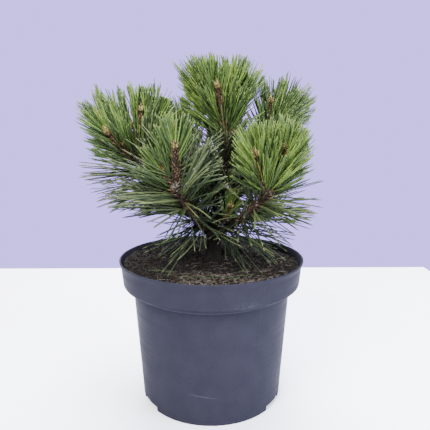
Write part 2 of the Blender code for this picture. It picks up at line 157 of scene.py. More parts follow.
# How far apart old needles stand on a mass, as a share of the common step.
OLD_STEPS = {"left": 0.94}
OLD_SPREAD_ROOT = 88.0
OLD_SPREAD_TIP = 42.0
SPREAD_SCATTER = 7.0
TURN_SCATTER = 0.25
DROOP = 0.08
SHORTEST = 0.6
SPACE_SLACK = 6.0
OLD_SPACE_SLACK = 16.0
LOCK_SIZE = 7
# The share of needles that take their spray's shade, and the place of the deep green that paints shade.
SHARED_SHADE = 0.3
PAINTED_SHADE_SLOT = 1
# The share of needles in masses further in that take the deep green as painted shade, as less light falls
# there, and how bare their shoots' fronts are. Old needles take only a part of it, which follows.
PAINTED_SHADE_SHARES = {
    "left": 0.32, "front_left": 0.45, "left_back": 0.6, "right_back": 0.66, "rear_left": 0.25,
    "rear_right": 0.25,
}
OLD_SHADE_PART = 0.4
# How far towards the front a needle stands to be one that may be left out, on a covered shoot
# and on a bare one.
FACING = (-0.60, -0.38)
BARE_SHARE = 0.2
BARE_SHARES = {
    "left": (0.8, 0.6, 0.9, 0.6, 0.5, 0.6), "front_left": (1.0, 0.2),
    "front_right": (0.55, 0.4, 0.55, 0.5, 0.5), "top": (0.9, 0.55, 0.4, 0.4, 0.3, 0.4),
    "right_back": (0.75, 0.5, 0.45), "low": (0.2,),
}
# The lowest height that needles reach, by distance to the left and right of the pot's axis.
# Needles that root below FOOT_TIER hang round the boughs' roots and reach lower.
SKIRT_PLACES = (-115.0, -100.0, -80.0, -62.0, -50.0, -38.0, 42.0, 60.0, 80.0, 95.0, 112.0)
SKIRT_HEIGHTS = (216.0, 206.0, 205.0, 205.0, 198.0, 172.0, 172.0, 180.0, 187.0, 193.0, 206.0)
FOOT_PLACES = (-80.0, -72.0, -66.0, -38.0, -14.0, 42.0, 58.0, 74.0, 92.0, 110.0)
FOOT_HEIGHTS = (206.0, 190.0, 156.0, 152.0, 144.0, 143.0, 150.0, 166.0, 182.0, 202.0)
FOOT_TIER = 190.0
FOOT_BACK = 8.0
# The share of low needles, and of those that end low at the front, that take the deep green as painted
# shade; right of SUNNY_FROM, where more light falls, the smaller share; and the height below which an end is
# low.
LOW_PAINTED_SHADE_SHARE = 0.9
SUNNY_FROM = 44.0
SUNNY_PAINTED_SHADE_SHARE = 0.3
SHADED_ENDS = 186.0
LOW_SPARSE = 0.5
LEFT_SPARSE = 0.75
LEFT_FROM = -40.0
LOW_SLIMNESS = 0.70
LOW_LOCK = 0.08
# Hanging needles that reach further out than this turn down, between these slopes, unless
# they rise more steeply than the limit on the left or on the right.
HANG_OUT = 28.0
HANG_SLOPES = (-0.98, -0.62)
HANG_LIMITS = (0.6, 0.1)
STRAY_SLOPE = 0.06
HIGHEST = 352.0
FURTHEST_RIGHT = 112.0
FURTHEST_RIGHT_SLOPE = 0.13
SKIRT_SLOPE = 0.17
SKIRT_MIDDLE = -30.0
SKIRT_MARGIN = 12.0
# Open places in the crown, each along a line from CAMERA_PLACE: where the line passes the pot's
# axis, to the side and in height, its radius, and the share of the needles there that it leaves out.
OPENINGS = (
    (45.4, 302.9, 3.1, 0.85),
    (42.5, 295.2, 3.7, 0.75),
    (38.6, 287.4, 3.7, 0.65),
    (33.7, 279.6, 3.4, 0.5),
    (39.5, 302.0, 3.4, 0.7),
    (36.0, 294.0, 3.4, 0.7),
    (32.0, 286.5, 3.2, 0.6),
    (-82.5, 308.6, 2.3, 0.9),
    (-80.9, 298.9, 2.3, 0.85),
    (-79.5, 290.1, 2.0, 0.8),
    (-42.0, 317.0, 7.0, 0.95),
    (-34.0, 330.0, 5.0, 0.8),
    (-33.0, 316.0, 5.0, 0.8),
    (-131.0, 281.0, 5.0, 0.7),
    (90.0, 321.0, 4.0, 0.8),
    (-78.5, 277.6, 1.6, 0.8),
    (-77.3, 267.7, 2.0, 0.8),
    (-76.6, 257.8, 2.6, 0.9),
    (19.6, 220.3, 3.0, 0.85),
    (33.6, 208.9, 3.2, 0.85),
    (40.7, 213.0, 2.6, 0.8),
    (33.7, 196.4, 2.4, 0.8),
    (31.3, 229.5, 2.2, 0.8),
    (-4.2, 289.8, 2.2, 0.8),
    (9.7, 286.9, 2.4, 0.85),
    (-6.7, 276.1, 2.4, 0.85),
    (-8.3, 266.7, 2.4, 0.8),
    (-5.0, 157.0, 8.5, 0.8),
    (-8.0, 144.0, 8.0, 0.85),
)
# Shoots whose stems show from the front: mass and number, how wide, and the share left out.
SHOWN_STEMS = (
    ("left", 0, 1.3, 0.5),
    ("left", 2, 1.5, 0.7),
    ("top", 0, 1.5, 0.75),
    ("right_back", 0, 1.3, 0.55),
    ("front_right", 0, 1.9, 0.35),
    ("front_right", 2, 0.8, 0.5),
    ("front_left", 0, 2.6, 0.85),
    ("low", 0, 5.5, 0.6),
)
# How much wider the view is left open at their buds, and the share left out there.
BUD_VIEW = (1.4, 0.92)
LIMB_CLEARANCE = 0.9
# Odd numbers that make a needle's lot for the openings out of where it roots.
LOT_STEPS = (12.9898, 78.233, 37.719)

Mass = namedtuple("Mass", "name root_height heading reach height young old shoots girth")

# Name, height of the bough's root, heading, reach and height of its whorl, lengths of
# young and old needles, the heading, lean from upright and length of each shoot, and girth.
MASSES = (
    Mass("front_left", 168, 237, 59, 222, 35, 66, ((270, 11, 46), (170, 32, 28)), 1.0),
    Mass(
        "left", 182, 190, 71, 243, 38, 58,
        ((222, 46, 52), (167, 39, 66), (90, 12, 60), (48, 22, 62)), 1.0,
    ),
    Mass(
        "front_right", 170, 320, 68, 218, 36, 57,
        ((215, 21, 45), (186, 4, 46), (346, 17, 50), (34, 29, 50)), 1.0,
    ),
    Mass("right_back", 204, 21, 62, 262, 36, 46, ((62, 13, 51), (36, 47, 66)), 1.0),
    Mass("left_back", 212, 122, 46, 256, 30, 42, ((128, 22, 42),), 1.0),
    Mass("rear_left", 174, 127, 67, 218, 37, 62, ((149, 32, 44), (75, 26, 48)), 1.0),
    Mass("rear_right", 178, 58, 71, 222, 37, 62, ((101, 25, 47), (23, 34, 45)), 1.0),
)
LEADER = Mass(
    "top", TRUNK_TOP, 0, 15, 270, 38, 42,
    ((222, 13, 55), (42, 10, 62), (172, 29, 63), (33, 25, 57), (88, 31, 54)), 1.0,
)
FOOT_SHOOT = Mass("low", 184, 298, 29, 191, 20, 0, ((330, 20, 18),), 0.6)
ALL_MASSES = (*MASSES, LEADER, FOOT_SHOOT)

# Finer shoots that grow between those of the source, by mass, in the same terms.
FINER_SHOOTS = {
    "left": ((150, 27, 57), (118, 15, 57)), "right_back": ((30, 28, 56),),
    "front_right": ((350, 25, 47),), "top": ((195, 19, 60),),
}
# This shoot keeps last year's long needles on its lower part, and its scaly bark shows.
SCALY_SHOOT = ("front_left", 0)
SCALY_SHARE = 0.52
SCALY_GIRTH = 1.15
SCALY_BUD_GIRTH = 0.8
LEAST_BUD_GIRTH = 0.7
# This small shoot grows in the shade of the others, which its deeper greens paint.
SHADED_SHOOT = ("front_left", 1)


def unit(vectors):
    """Vectors of length one."""
    return vectors / np.linalg.norm(vectors, axis=-1, keepdims=True)


def polar(heading, radius, height):
    """The point at a heading and a radius from the pot's axis."""
    angle = math.radians(heading)
    return np.array((radius * math.cos(angle), radius * math.sin(angle), height))


def across(along):
    """Two unit vectors square to each direction and to each other."""
    helper = np.where(np.abs(along[..., 2:]) < 0.9, (0.0, 0.0, 1.0), (1.0, 0.0, 0.0))
    first = unit(np.cross(along, helper))
    return first, np.cross(along, first)


def turn_towards(first, second, angle):
    """Directions turned from the first towards the second by an angle."""
    return first * np.cos(angle)[..., None] + second * np.sin(angle)[..., None]


def ramp(values, start, fade):
    """Nothing up to a start, and whole from a fade further on."""
    return np.clip((values - start) / fade, 0.0, 1.0)


def curve(start, pull, end, shares):
    """Points at shares of the way along the curve from start to end."""
    share = np.asarray(shares, float)[:, None]
    rest = 1.0 - share
    return start * rest * rest + pull * 2.0 * rest * share + end * share * share


def trunk_point(height):
    """The trunk's centre at a height: it leans to +X and bows a little to the back."""
    share = max(0.0, (height - SOIL_TOP) / (TRUNK_TOP - SOIL_TOP))
    lean = TRUNK_FOOT_OFFSET + TRUNK_LEAN * share ** TRUNK_LEAN_POWER
    return np.array((lean, TRUNK_BOW * math.sin(math.pi * share), height))


def trunk_radius(height):
    """The trunk's radius at a height, without its root flare."""
    share = (height - SOIL_TOP) / (TRUNK_TOP - SOIL_TOP)
    return TRUNK_FOOT_RADIUS + (TRUNK_TOP_RADIUS - TRUNK_FOOT_RADIUS) * share


def whorl_of(mass):
    """Where a mass's shoots spring from."""
    return polar(mass.heading, mass.reach, mass.height)


def bough_curve(mass):
    """Start, pull and end of the curve from the trunk's centre to the mass's whorl."""
    root = trunk_point(mass.root_height)
    whorl = whorl_of(mass)
    pull = 0.5 * (root + whorl)
    pull[2] = root[2] + BOUGH_SAG * (whorl[2] - root[2])
    return root, pull, whorl


def shoot_end(mass, shoot):
    """The tip of a shoot's bud."""
    heading, lean, length = shoot
    side = length * math.sin(math.radians(lean))
    return whorl_of(mass) + polar(heading, side, length * math.cos(math.radians(lean)))


def soil_height(radius, angle):
    """The height of the soil: flat round the trunk, lumpy further out, lower at the wall."""
    out = np.maximum(0.0, (radius - SOIL_FLAT_RADIUS) / (NECK_RADIUS - SOIL_FLAT_RADIUS))
    lumps = np.sin(3.0 * angle + 0.11 * radius) + 0.6 * np.sin(7.0 * angle - 0.2 * radius)
    bank = SOIL_BANK - SOIL_BANK_LEAN * np.cos(angle)
    return SOIL_TOP + (bank - SOIL_EDGE_DROP) * out * out + SOIL_BUMP * lumps * np.minimum(1.0, 2.0 * out)


def outer_radius(height):
    """The radius of the pot's outer face: tapered wall, then the collar's slope and band."""
    corners = (0.0, NECK_HEIGHT, BAND_HEIGHT, POT_HEIGHT)
    radii = (BASE_RADIUS, NECK_RADIUS, COLLAR_RADIUS, COLLAR_TOP_RADIUS)
    return float(np.interp(height, corners, radii))


def inner_radius(height):
    """The radius of the pot's inner face."""
    return outer_radius(height) - WALL


class Line:
    """The centre line of a limb, with points and directions at any share of its length."""

    def __init__(self, points):
        self.points = np.array(points, float)
        steps = np.linalg.norm(np.diff(self.points, axis=0), axis=1)
        self.length = float(steps.sum())
        self.shares = np.concatenate([[0.0], np.cumsum(steps)]) / self.length
        self.along = unit(np.gradient(self.points, axis=0))

    def at(self, shares):
        """Points on the line and its directions there."""
        point = [np.interp(shares, self.shares, self.points[:, axis]) for axis in range(3)]
        along = [np.interp(shares, self.shares, self.along[:, axis]) for axis in range(3)]
        return np.stack(point, axis=-1), unit(np.stack(along, axis=-1))


def trunk_line(foot, count):
    """The trunk's line, from a height to its tip."""
    return Line([trunk_point(height) for height in np.linspace(foot, TRUNK_TOP, count)])


def bough_line(mass):
    """The part of a limb that the source calls the bough."""
    return Line(curve(*bough_curve(mass), np.linspace(0.0, BOUGH_SHARE, 12)))


def stem_line(mass):
    """The stem that carries a mass, from its bough's end to its whorl."""
    if mass is LEADER:
        return Line(np.linspace(trunk_point(TRUNK_TOP - 1.0), whorl_of(mass), 8))
    first = 0.0 if mass is FOOT_SHOOT else BOUGH_SHARE
    return Line(curve(*bough_curve(mass), np.linspace(first, 1.0, 16)))


def shoot_line(mass, shoot):
    """A young shoot, which leaves its whorl wider and turns up a little."""
    start = whorl_of(mass)
    end = shoot_end(mass, shoot)
    bow = polar(shoot[0], SHOOT_BOW * shoot[2] * math.sin(math.radians(2.0 * shoot[1])), 0.0)
    pull = 0.5 * (start + end) + bow
    return Line(curve(start, pull, end, np.linspace(0.0, 1.0, 12)))


# Finishes

def feed(made, node, inputs):
    """Give a node's inputs their values, or link outputs of other nodes to them."""
    for name, value in inputs.items():
        if isinstance(value, bpy.types.NodeSocket):
            made.node_tree.links.new(value, node.inputs[name])
        else:
            node.inputs[name].default_value = value


def add_node(made, kind, inputs, **settings):
    """A new node of a finish, with its settings and inputs."""
    node = made.node_tree.nodes.new(kind)
    for name, value in settings.items():
        setattr(node, name, value)
    feed(made, node, inputs)
    return node


def grain_at(made, place, scale, detail):
    """Noise over the places of a finish."""
    inputs = {"Vector": place, "Scale": scale, "Detail": detail}
    return add_node(made, "ShaderNodeTexNoise", inputs).outputs["Fac"]


def level_of(made, value, old, new=(0.0, 1.0)):
    """A value moved from one pair of levels to another, and held between them."""
    inputs = dict(zip(("From Min", "From Max", "To Min", "To Max"), (*old, *new)))
    return add_node(made, "ShaderNodeMapRange", {"Value": value, **inputs}).outputs["Result"]


def reckon(made, operation, first, second):
    """Two values multiplied, or the larger of them, by the name of the operation."""
    return add_node(made, "ShaderNodeMath", {0: first, 1: second}, operation=operation).outputs["Value"]


def relief_of(made, height, strength, distance):
    """Fine relief from a height."""
    inputs = {"Height": height, "Strength": strength, "Distance": distance}
    return add_node(made, "ShaderNodeBump", inputs).outputs["Normal"]


def finish(name, dark, light, roughness, grain=300.0, bump=0.0, specular=0.5):
    """A finish whose colour drifts between two tones in patches, with fine relief."""
    made = bpy.data.materials.new(name)
    made.use_nodes = True
    shader = made.node_tree.nodes["Principled BSDF"]
    place = add_node(made, "ShaderNodeTexCoord", {}).outputs["Object"]
    patches = grain_at(made, place, grain, 4.0)
    tones = add_node(made, "ShaderNodeValToRGB", {"Fac": patches})
    for stop, position, colour in zip(tones.color_ramp.elements, (0.36, 0.64), (dark, light)):
        stop.position = position
        stop.color = (*colour, 1.0)
    feed(made, shader, {
        "Roughness": roughness, "Specular IOR Level": specular, "Base Color": tones.outputs["Color"],
    })
    if bump:
        feed(made, shader, {"Normal": relief_of(made, patches, bump, 0.0004)})
    made.diffuse_color = (*light, 1.0)
    return made


def toned(name, colour, roughness, drift=0.22, specular=0.18, **more):
    """A finish that drifts a little darker and lighter than one colour."""
    dark = tuple(part * (1.0 - drift) for part in colour)
    light = tuple(part * (1.0 + drift) for part in colour)
    return finish(name, dark, light, roughness, specular=specular, **more)


# Each deep green is a shaded copy of its plain green, and the bright young green a lit copy. Needles are
# dealt them by place, so they are painted shade and painted light.
YOUNG_GREENS = (
    toned("young_green", (0.060, 0.101, 0.0205), 0.42),
    toned("young_green_painted_shade", (0.029, 0.052, 0.0135), 0.42),
    toned("young_green_painted_light", (0.098, 0.157, 0.0275), 0.42),
    toned("young_green_cool", (0.044, 0.077, 0.026), 0.42),
)
YOUNG_TIP = toned("young_tip", (0.086, 0.118, 0.027), 0.45)
OLD_GREENS = (
    toned("old_green", (0.031, 0.0475, 0.0183), 0.40),
    toned("old_green_painted_shade", (0.015, 0.0235, 0.011), 0.40),
    toned("old_green_grey", (0.062, 0.08, 0.036), 0.42),
    toned("old_green_dull", (0.06, 0.077, 0.029), 0.42),
)
OLD_TIP = toned("old_tip", (0.064, 0.073, 0.034), 0.5)
FRESH_GREENS = (
    toned("fresh_green", (0.058, 0.098, 0.0160), 0.42),
    toned("fresh_green_painted_shade", (0.030, 0.058, 0.0115), 0.42),
)
SHEATHS = (
    toned("sheath_brown", (0.055, 0.026, 0.011), 0.7),
    toned("sheath_dark", (0.025, 0.014, 0.008), 0.7),
    toned("sheath_tan", (0.105, 0.06, 0.0275), 0.7),
)
SCALES = (
    toned("scale_brown", (0.034, 0.021, 0.0095), 0.75),
    toned("scale_dark", (0.013, 0.0098, 0.0055), 0.8),
    toned("scale_tan", (0.054, 0.036, 0.018), 0.7),
    toned("scale_grey", (0.108, 0.096, 0.082), 0.85),
)
# The place of the dark one.
DARK_SCALE = 1
BUD_SKINS = (
    toned("bud_brown", (0.086, 0.056, 0.0185), 0.6),
    toned("bud_tan", (0.165, 0.13, 0.046), 0.55),
    toned("bud_resin", (0.29, 0.265, 0.105), 0.4),
)
YOUNG_BARK = finish(
    "young_bark", (0.020, 0.0095, 0.0048), (0.050, 0.027, 0.012), 0.75, 420.0, 0.5, 0.2,
)
GREY_BARK = finish("grey_bark", (0.009, 0.006, 0.004), (0.034, 0.024, 0.017), 0.9, 260.0, 0.7, 0.15)
# The trunk's bark is much darker than the boughs': painted shade, for little light reaches the trunk under
# the needles.
SHADED_TRUNK_BARK = finish(
    "trunk_bark_painted_shade", (0.0026, 0.0022, 0.0018), (0.0095, 0.0077, 0.0062), 0.9, 260.0, 0.7, 0.15,
)
PEAT = finish("peat", (0.0025, 0.0019, 0.0016), (0.0075, 0.0056, 0.0046), 0.95, 420.0, 1.0, 0.1)
CRUMBS = (
    toned("crumb_dark", (0.0028, 0.0023, 0.0021), 0.95),
    toned("crumb_brown", (0.018, 0.0146, 0.0130), 0.95),
    toned("crumb_warm", (0.05, 0.04, 0.0345), 0.9),
    toned("crumb_pale", (0.076, 0.066, 0.060), 0.9),
)
STRAW = (
    toned("straw_brown", (0.0215, 0.0135, 0.0085), 0.8),
    toned("straw_pale", (0.083, 0.068, 0.058), 0.8),
    toned("straw_green", (0.022, 0.035, 0.012), 0.6),
)
# The place of the green one.
GREEN_STRAW = 2
# Near black, on the faces inside the pot's notches: painted shade.
NOTCH_SHADE = toned("pot_notch_painted_shade", (0.0022, 0.0022, 0.0032), 0.8, specular=0.05)
DUST = (0.045, 0.045, 0.058, 1.0)
# Marks on the pot: middle, half size, turn, strength, and the grain and levels that break them
# up. They are dust all over, a scuff low down, and dusty patches on the collar and below it.
RUB_MARKS = (
    ((0.0, 0.0, 70.0), (2000.0, 2000.0, 2000.0), 0.0, 0.10, 600.0, 0.45, 0.75),
    ((-9.0, -75.0, 31.9), (17.0, 20.0, 0.75), 7.3, 1.0, 160.0, 0.15, 0.55),
    ((29.0, -84.0, 124.0), (19.0, 14.0, 7.0), 0.0, 1.0, 420.0, 0.42, 0.80),
    ((-12.0, -60.0, 117.2), (110.0, 70.0, 1.3), 0.0, 1.4, 260.0, 0.20, 0.65),
)


def rub_mark(made, place, middle, size, turn, strength, grain, low, high):
    """How strongly a soft oval mark shows: most at its middle, and broken up by fine noise."""
    oval = add_node(made, "ShaderNodeMapping", {
        "Vector": place, "Location": [MM * part for part in middle],
        "Rotation": (0.0, math.radians(turn), 0.0), "Scale": [MM * part for part in size],
    }, vector_type="TEXTURE")
    fade = add_node(
        made, "ShaderNodeTexGradient", {"Vector": oval.outputs["Vector"]}, gradient_type="SPHERICAL",
    )
    amount = reckon(made, "MULTIPLY", fade.outputs["Fac"], strength)
    specks = level_of(made, grain_at(made, place, grain, 5.0), (low, high))
    return reckon(made, "MULTIPLY", specks, amount)


def pot_finish():
    """Satin dark blue-grey plastic: level rub marks, a little dust, a scuff and a dusty patch."""
    made = finish("pot_plastic", (0.0146, 0.0145, 0.0220), (0.0169, 0.0168, 0.0248), 0.40, 60.0, 0.0, 0.12)
    nodes = made.node_tree.nodes
    place = nodes["Texture Coordinate"].outputs["Object"]
    plain = nodes["Color Ramp"].outputs["Color"]
    level = add_node(made, "ShaderNodeMapping", {"Vector": place, "Scale": (14.0, 14.0, 320.0)})
    rubs = grain_at(made, level.outputs["Vector"], 1.0, 3.0)
    gloss = level_of(made, rubs, (0.35, 0.70), (0.42, 0.56))
    pale = level_of(made, rubs, (0.66, 0.74), (0.0, 0.12))
    for mark in RUB_MARKS:
        pale = reckon(made, "MAXIMUM", pale, rub_mark(made, place, *mark))
    dusted = add_node(made, "ShaderNodeMix", {"Factor": pale, "A": plain, "B": DUST}, data_type="RGBA")
    feed(made, nodes["Principled BSDF"], {
        "IOR": 1.12, "Roughness": gloss, "Base Color": dusted.outputs["Result"],
        "Normal": relief_of(made, grain_at(made, place, 900.0, 2.0), 0.12, 0.0003),
    })
    return made


# Shapes

Shape = namedtuple("Shape", "verts faces")


def shape_of(bm):
    """The triangles of a bmesh, as arrays."""
    bmesh.ops.recalc_face_normals(bm, faces=bm.faces)
    bmesh.ops.triangulate(bm, faces=bm.faces)
    bm.verts.index_update()
    verts = np.array([tuple(vert.co) for vert in bm.verts])
    faces = np.array([[vert.index for vert in face.verts] for face in bm.faces])
    bm.free()
    return Shape(verts, faces)


def spindle(sides, shares, widths):
    """A closed spindle along +Z: rings at shares of its length, each as wide as given."""
    bm = bmesh.new()
    ring = bmesh.ops.create_circle(bm, cap_ends=False, radius=1.0, segments=sides)["verts"]
    edges = bm.edges[:]
    bmesh.ops.scale(bm, vec=(widths[0], widths[0], 1.0), verts=ring)
    for index in range(1, len(shares)):
        made = bmesh.ops.extrude_edge_only(bm, edges=edges)["geom"]
        ring = [part for part in made if isinstance(part, bmesh.types.BMVert)]
        inside = set(ring)
        edges = [
            part for part in made
            if isinstance(part, bmesh.types.BMEdge) and inside.issuperset(part.verts)
        ]
        growth = widths[index] / widths[index - 1]
        bmesh.ops.scale(bm, vec=(growth, growth, 1.0), verts=ring)
        bmesh.ops.translate(bm, vec=(0.0, 0.0, shares[index] - shares[index - 1]), verts=ring)
    bmesh.ops.holes_fill(bm, edges=bm.edges[:], sides=0)
    return shape_of(bm)


YOUNG_NEEDLE = spindle(4, (0.0, 0.3, 0.58, 0.82, 0.95, 1.0), (0.7, 1.0, 1.0, 0.95, 0.75, 0.25))
OLD_NEEDLE = spindle(4, (0.0, 0.18, 0.36, 0.56, 0.76, 0.94, 1.0), (0.7, 1.0, 1.0, 1.0, 1.0, 0.88, 0.35))
SHEATH = spindle(5, (0.0, 0.5, 1.0), (1.0, 1.0, 0.82))
SCALE = spindle(4, (0.0, 0.35, 1.0), (0.7, 1.0, 0.08))
BUD = spindle(8, (0.0, 0.14, 0.36, 0.6, 0.8, 0.93, 1.0), (0.6, 0.96, 1.0, 0.78, 0.46, 0.22, 0.08))


def face_shares(shape):
    """How far along a spindle each of its faces lies."""
    return shape.verts[shape.faces][:, :, 2].mean(axis=1)


def bent(root, along, bend, sway, length, shares):
    """Points at shares of the way along bent needles, for each needle."""
    share = shares[None, :, None]
    line = along[:, None] * share + bend[:, None] * share ** 2 + sway[:, None] * share ** 3
    return root[:, None] + line * np.reshape(length, (-1, 1, 1))


def linked(name, data, materials=()):
    """An object of some data, with its finishes, in the scene."""
    for material in materials:
        data.materials.append(material)
    obj = bpy.data.objects.new(name, data)
    bpy.context.scene.collection.objects.link(obj)
    return obj


STRAIGHT = np.zeros((1, 3))


class Batch:
    """Copies of small shapes, gathered into one joined mesh."""

    def __init__(self):
        self.verts = []
        self.faces = []
        self.slots = []
        self.count = 0

    def add(self, verts, faces, slots):
        """Add the vertices of some copies, the faces of each and a slot for every face."""
        self.verts.append(verts)
        self.faces.append(faces + self.count)
        self.slots.append(slots)
        self.count += len(verts)

    def lay(
        self, shape, root, along, side, face, length, width, depth, slot, bend=STRAIGHT, sway=STRAIGHT,
    ):
        """Lay copies of a spindle, each from its root along its own line."""
        copies = len(root)
        if copies == 0:
            return
        x, y, share = shape.verts.T
        verts = bent(root, along, bend, sway, length, share)
        for outward, size, part in ((side, width, x), (face, depth, y)):
            verts = verts + outward[:, None] * (0.5 * np.reshape(size, (-1, 1)) * part)[..., None]
        offsets = np.arange(copies)[:, None, None] * len(shape.verts)
        faces = (shape.faces[None] + offsets).reshape(-1, 3)
        slots = np.asarray(slot)
        if slots.ndim < 2:
            slots = np.repeat(np.broadcast_to(slots, copies), len(shape.faces))
        self.add(verts.reshape(-1, 3), faces, slots.reshape(-1))

    def piece(self, name, materials, smooth=True):
        """The joined mesh as an object, in metres."""
        verts = np.concatenate(self.verts) * MM
        faces = np.concatenate(self.faces).astype(np.int32)
        mesh = bpy.data.meshes.new(name)
        mesh.vertices.add(len(verts))
        mesh.vertices.foreach_set("co", verts.astype(np.float32).ravel())
        mesh.loops.add(3 * len(faces))
        mesh.loops.foreach_set("vertex_index", faces.ravel())
        mesh.polygons.add(len(faces))
        mesh.polygons.foreach_set("loop_start", np.arange(len(faces), dtype=np.int32) * 3)
        mesh.polygons.foreach_set("material_index", np.concatenate(self.slots).astype(np.int32))
        mesh.update(calc_edges=True)
        if smooth:
            mesh.shade_smooth()
        return linked(name, mesh, materials)


def place_piece(obj, nodes):
    """Let a piece ride with the plant and stand for its solids, which are hidden."""
    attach(obj, "root")
    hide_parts(*nodes)


def object_of(name, bm, materials, smooth_below=None):
    """An object of a bmesh in millimetres, scaled to metres."""
    bmesh.ops.scale(bm, vec=(MM, MM, MM), verts=bm.verts)
    mesh = bpy.data.meshes.new(name)
    bm.to_mesh(mesh)
    bm.free()
    if smooth_below is not None:
        mesh.shade_smooth()
        mesh.set_sharp_from_angle(angle=math.radians(smooth_below))
    return linked(name, mesh, materials)


def round_edges(bm, edges, size, segments):
    """Round some edges of a bmesh."""
    bmesh.ops.bevel(
        bm, geom=edges, offset=size, offset_type="OFFSET", affect="EDGES", segments=segments,
        profile=0.5, material=-1,
    )


# Bark

def plates(point, size, depth):
    """Relief of scaly bark: raised plates longer than wide, with cracks between them."""
    spot = Vector((point[0] / size, point[1] / size, point[2] / (1.7 * size)))
    near = noise.voronoi(spot)[0]
    crack = min(1.0, (near[1] - near[0]) / 0.35)
    rough = noise.fractal(spot * 3.1, 0.8, 2.0, 3)
    return depth * (crack - 0.75) + 0.30 * depth * rough


def add_sleeve(batch, line, radius_at, relief_at, sides, rings, slot=0):
    """A bark-covered limb: a closed sleeve round its line, with relief on its skin."""
    shares = np.linspace(0.0, 1.0, rings + 1)
    shape = spindle(sides, shares, [1.0] * (rings + 1))
    centres, along = line.at(shares)
    firsts = []
    first = across(along[:1])[0][0]
    for direction in along:
        first = unit(first - direction * first.dot(direction))
        firsts.append(first)
    firsts = np.array(firsts)
    seconds = np.cross(along, firsts)
    ring = np.clip(np.rint(shape.verts[:, 2] * rings).astype(int), 0, rings)
    angle = np.arctan2(shape.verts[:, 1], shape.verts[:, 0])
    outward = turn_towards(firsts[ring], seconds[ring], angle)
    radii = np.array([radius_at(share, turn) for share, turn in zip(shares[ring], angle)])
    verts = centres[ring] + outward * radii[:, None]
    relief = np.array([relief_at(vert) for vert in verts])
    verts = verts + outward * relief[:, None]
    batch.add(verts, shape.faces, np.full(len(shape.faces), slot))


def flare(height, angle):
    """What the root flare adds to the trunk's radius: five lobes that fade upwards."""
    fade = min(1.4, max(0.0, 1.0 - (height - SOIL_TOP) / FLARE_HEIGHT) ** 2)
    return FLARE * fade * (1.0 - FLARE_LOBE_DEPTH * (1.0 - math.cos(FLARE_LOBES * angle)))


def make_trunk():
    """The trunk, from under the soil to its tip, with plated bark that is coarser low down and darkened as
    painted shade.
    """
    line = trunk_line(SOIL_TOP - 3.0, 30)
    batch = Batch()

    def radius_at(share, angle):
        height = line.at(np.array([share]))[0][0][2]
        return trunk_radius(height) + flare(height, angle)

    def relief_at(vert):
        return plates(vert, *(LOW_TRUNK_PLATES if vert[2] < COARSE_BELOW else TRUNK_PLATES))
    add_sleeve(batch, line, radius_at, relief_at, *TRUNK_GRID)
    place_piece(batch.piece("bark_trunk", [SHADED_TRUNK_BARK]), ["trunk"])


def limb_relief(vert):
    """Relief of a bough or stem: smaller plates than on the trunk."""
    return plates(vert, *LIMB_PLATES)


def make_bough(mass):
    """One limb, from inside the trunk to where its mass's stem goes on."""
    line = bough_line(mass)
    batch = Batch()

    def radius_at(share, angle):
        return BOUGH_ROOT_RADIUS + (BOUGH_TIP_RADIUS - BOUGH_ROOT_RADIUS) * share ** BOUGH_TAPER_POWER
    add_sleeve(batch, line, radius_at, limb_relief, *BOUGH_GRID)
    place_piece(batch.piece("bark_bough_" + mass.name, [GREY_BARK]), ["bough_" + mass.name])


# Needles

def hangs(root):
    """Which needles root so low, and far enough forward, that they hang round the bough roots."""
    return (root[:, 2] < FOOT_TIER) & (root[:, 1] < FOOT_BACK)


def skirt_height(x, y, hanging):
    """The lowest height that needles reach at a place. It falls a little towards the back."""
    skirt = np.interp(x, SKIRT_PLACES, SKIRT_HEIGHTS) - SKIRT_SLOPE * (y - SKIRT_MIDDLE)
    foot = np.interp(x, FOOT_PLACES, FOOT_HEIGHTS) - SKIRT_SLOPE * (y - SKIRT_MIDDLE)
    return np.where(hanging, foot, skirt)


def segments_of(mass):
    """Starts and ends of the straight parts of a mass's stem and shoots."""
    if mass is LEADER:
        points = [trunk_point(TRUNK_TOP), whorl_of(mass)]
    else:
        first = 0.0 if mass is FOOT_SHOOT else BOUGH_SHARE
        points = list(curve(*bough_curve(mass), np.linspace(first, 1.0, 5)))
    pairs = list(zip(points, points[1:]))
    pairs += [(points[-1], shoot_end(mass, shoot)) for shoot in mass.shoots]
    return pairs


def limb_segments():
    """Starts and ends of the parts of trunk and boughs, and their radii."""
    pairs = []
    radii = []
    heights = np.linspace(SOIL_TOP, TRUNK_TOP, 12)
    for low, high in zip(heights, heights[1:]):
        pairs.append((trunk_point(low), trunk_point(high)))
        radii.append(trunk_radius(low) + flare(low, 0.0))
    for mass in MASSES:
        points = curve(*bough_curve(mass), np.linspace(0.0, BOUGH_SHARE, 7))
        for pair in zip(points, points[1:]):
            pairs.append(pair)
            radii.append(BOUGH_ROOT_RADIUS)
    return pairs, np.array(radii)


def distances(samples, pairs):
    """How far each sample lies from each segment."""
    starts = np.array([pair[0] for pair in pairs])
    along = np.array([pair[1] for pair in pairs]) - starts
    offset = samples[:, None, :] - starts[None]
    share = np.einsum("spk,pk->sp", offset, along) / np.einsum("pk,pk->p", along, along)
    nearest = starts[None] + np.clip(share, 0.0, 1.0)[:, :, None] * along[None]
    return np.linalg.norm(samples[:, None, :] - nearest, axis=2)


def from_front(points):
    """Points moved along the lines from the camera's place to the pot's axis plane."""
    offset = points - np.array(CAMERA_PLACE)
    moved = np.array(CAMERA_PLACE) - offset * (CAMERA_PLACE[1] / offset[:, 1])[:, None]
    moved[:, 1] = 0.0
    return moved


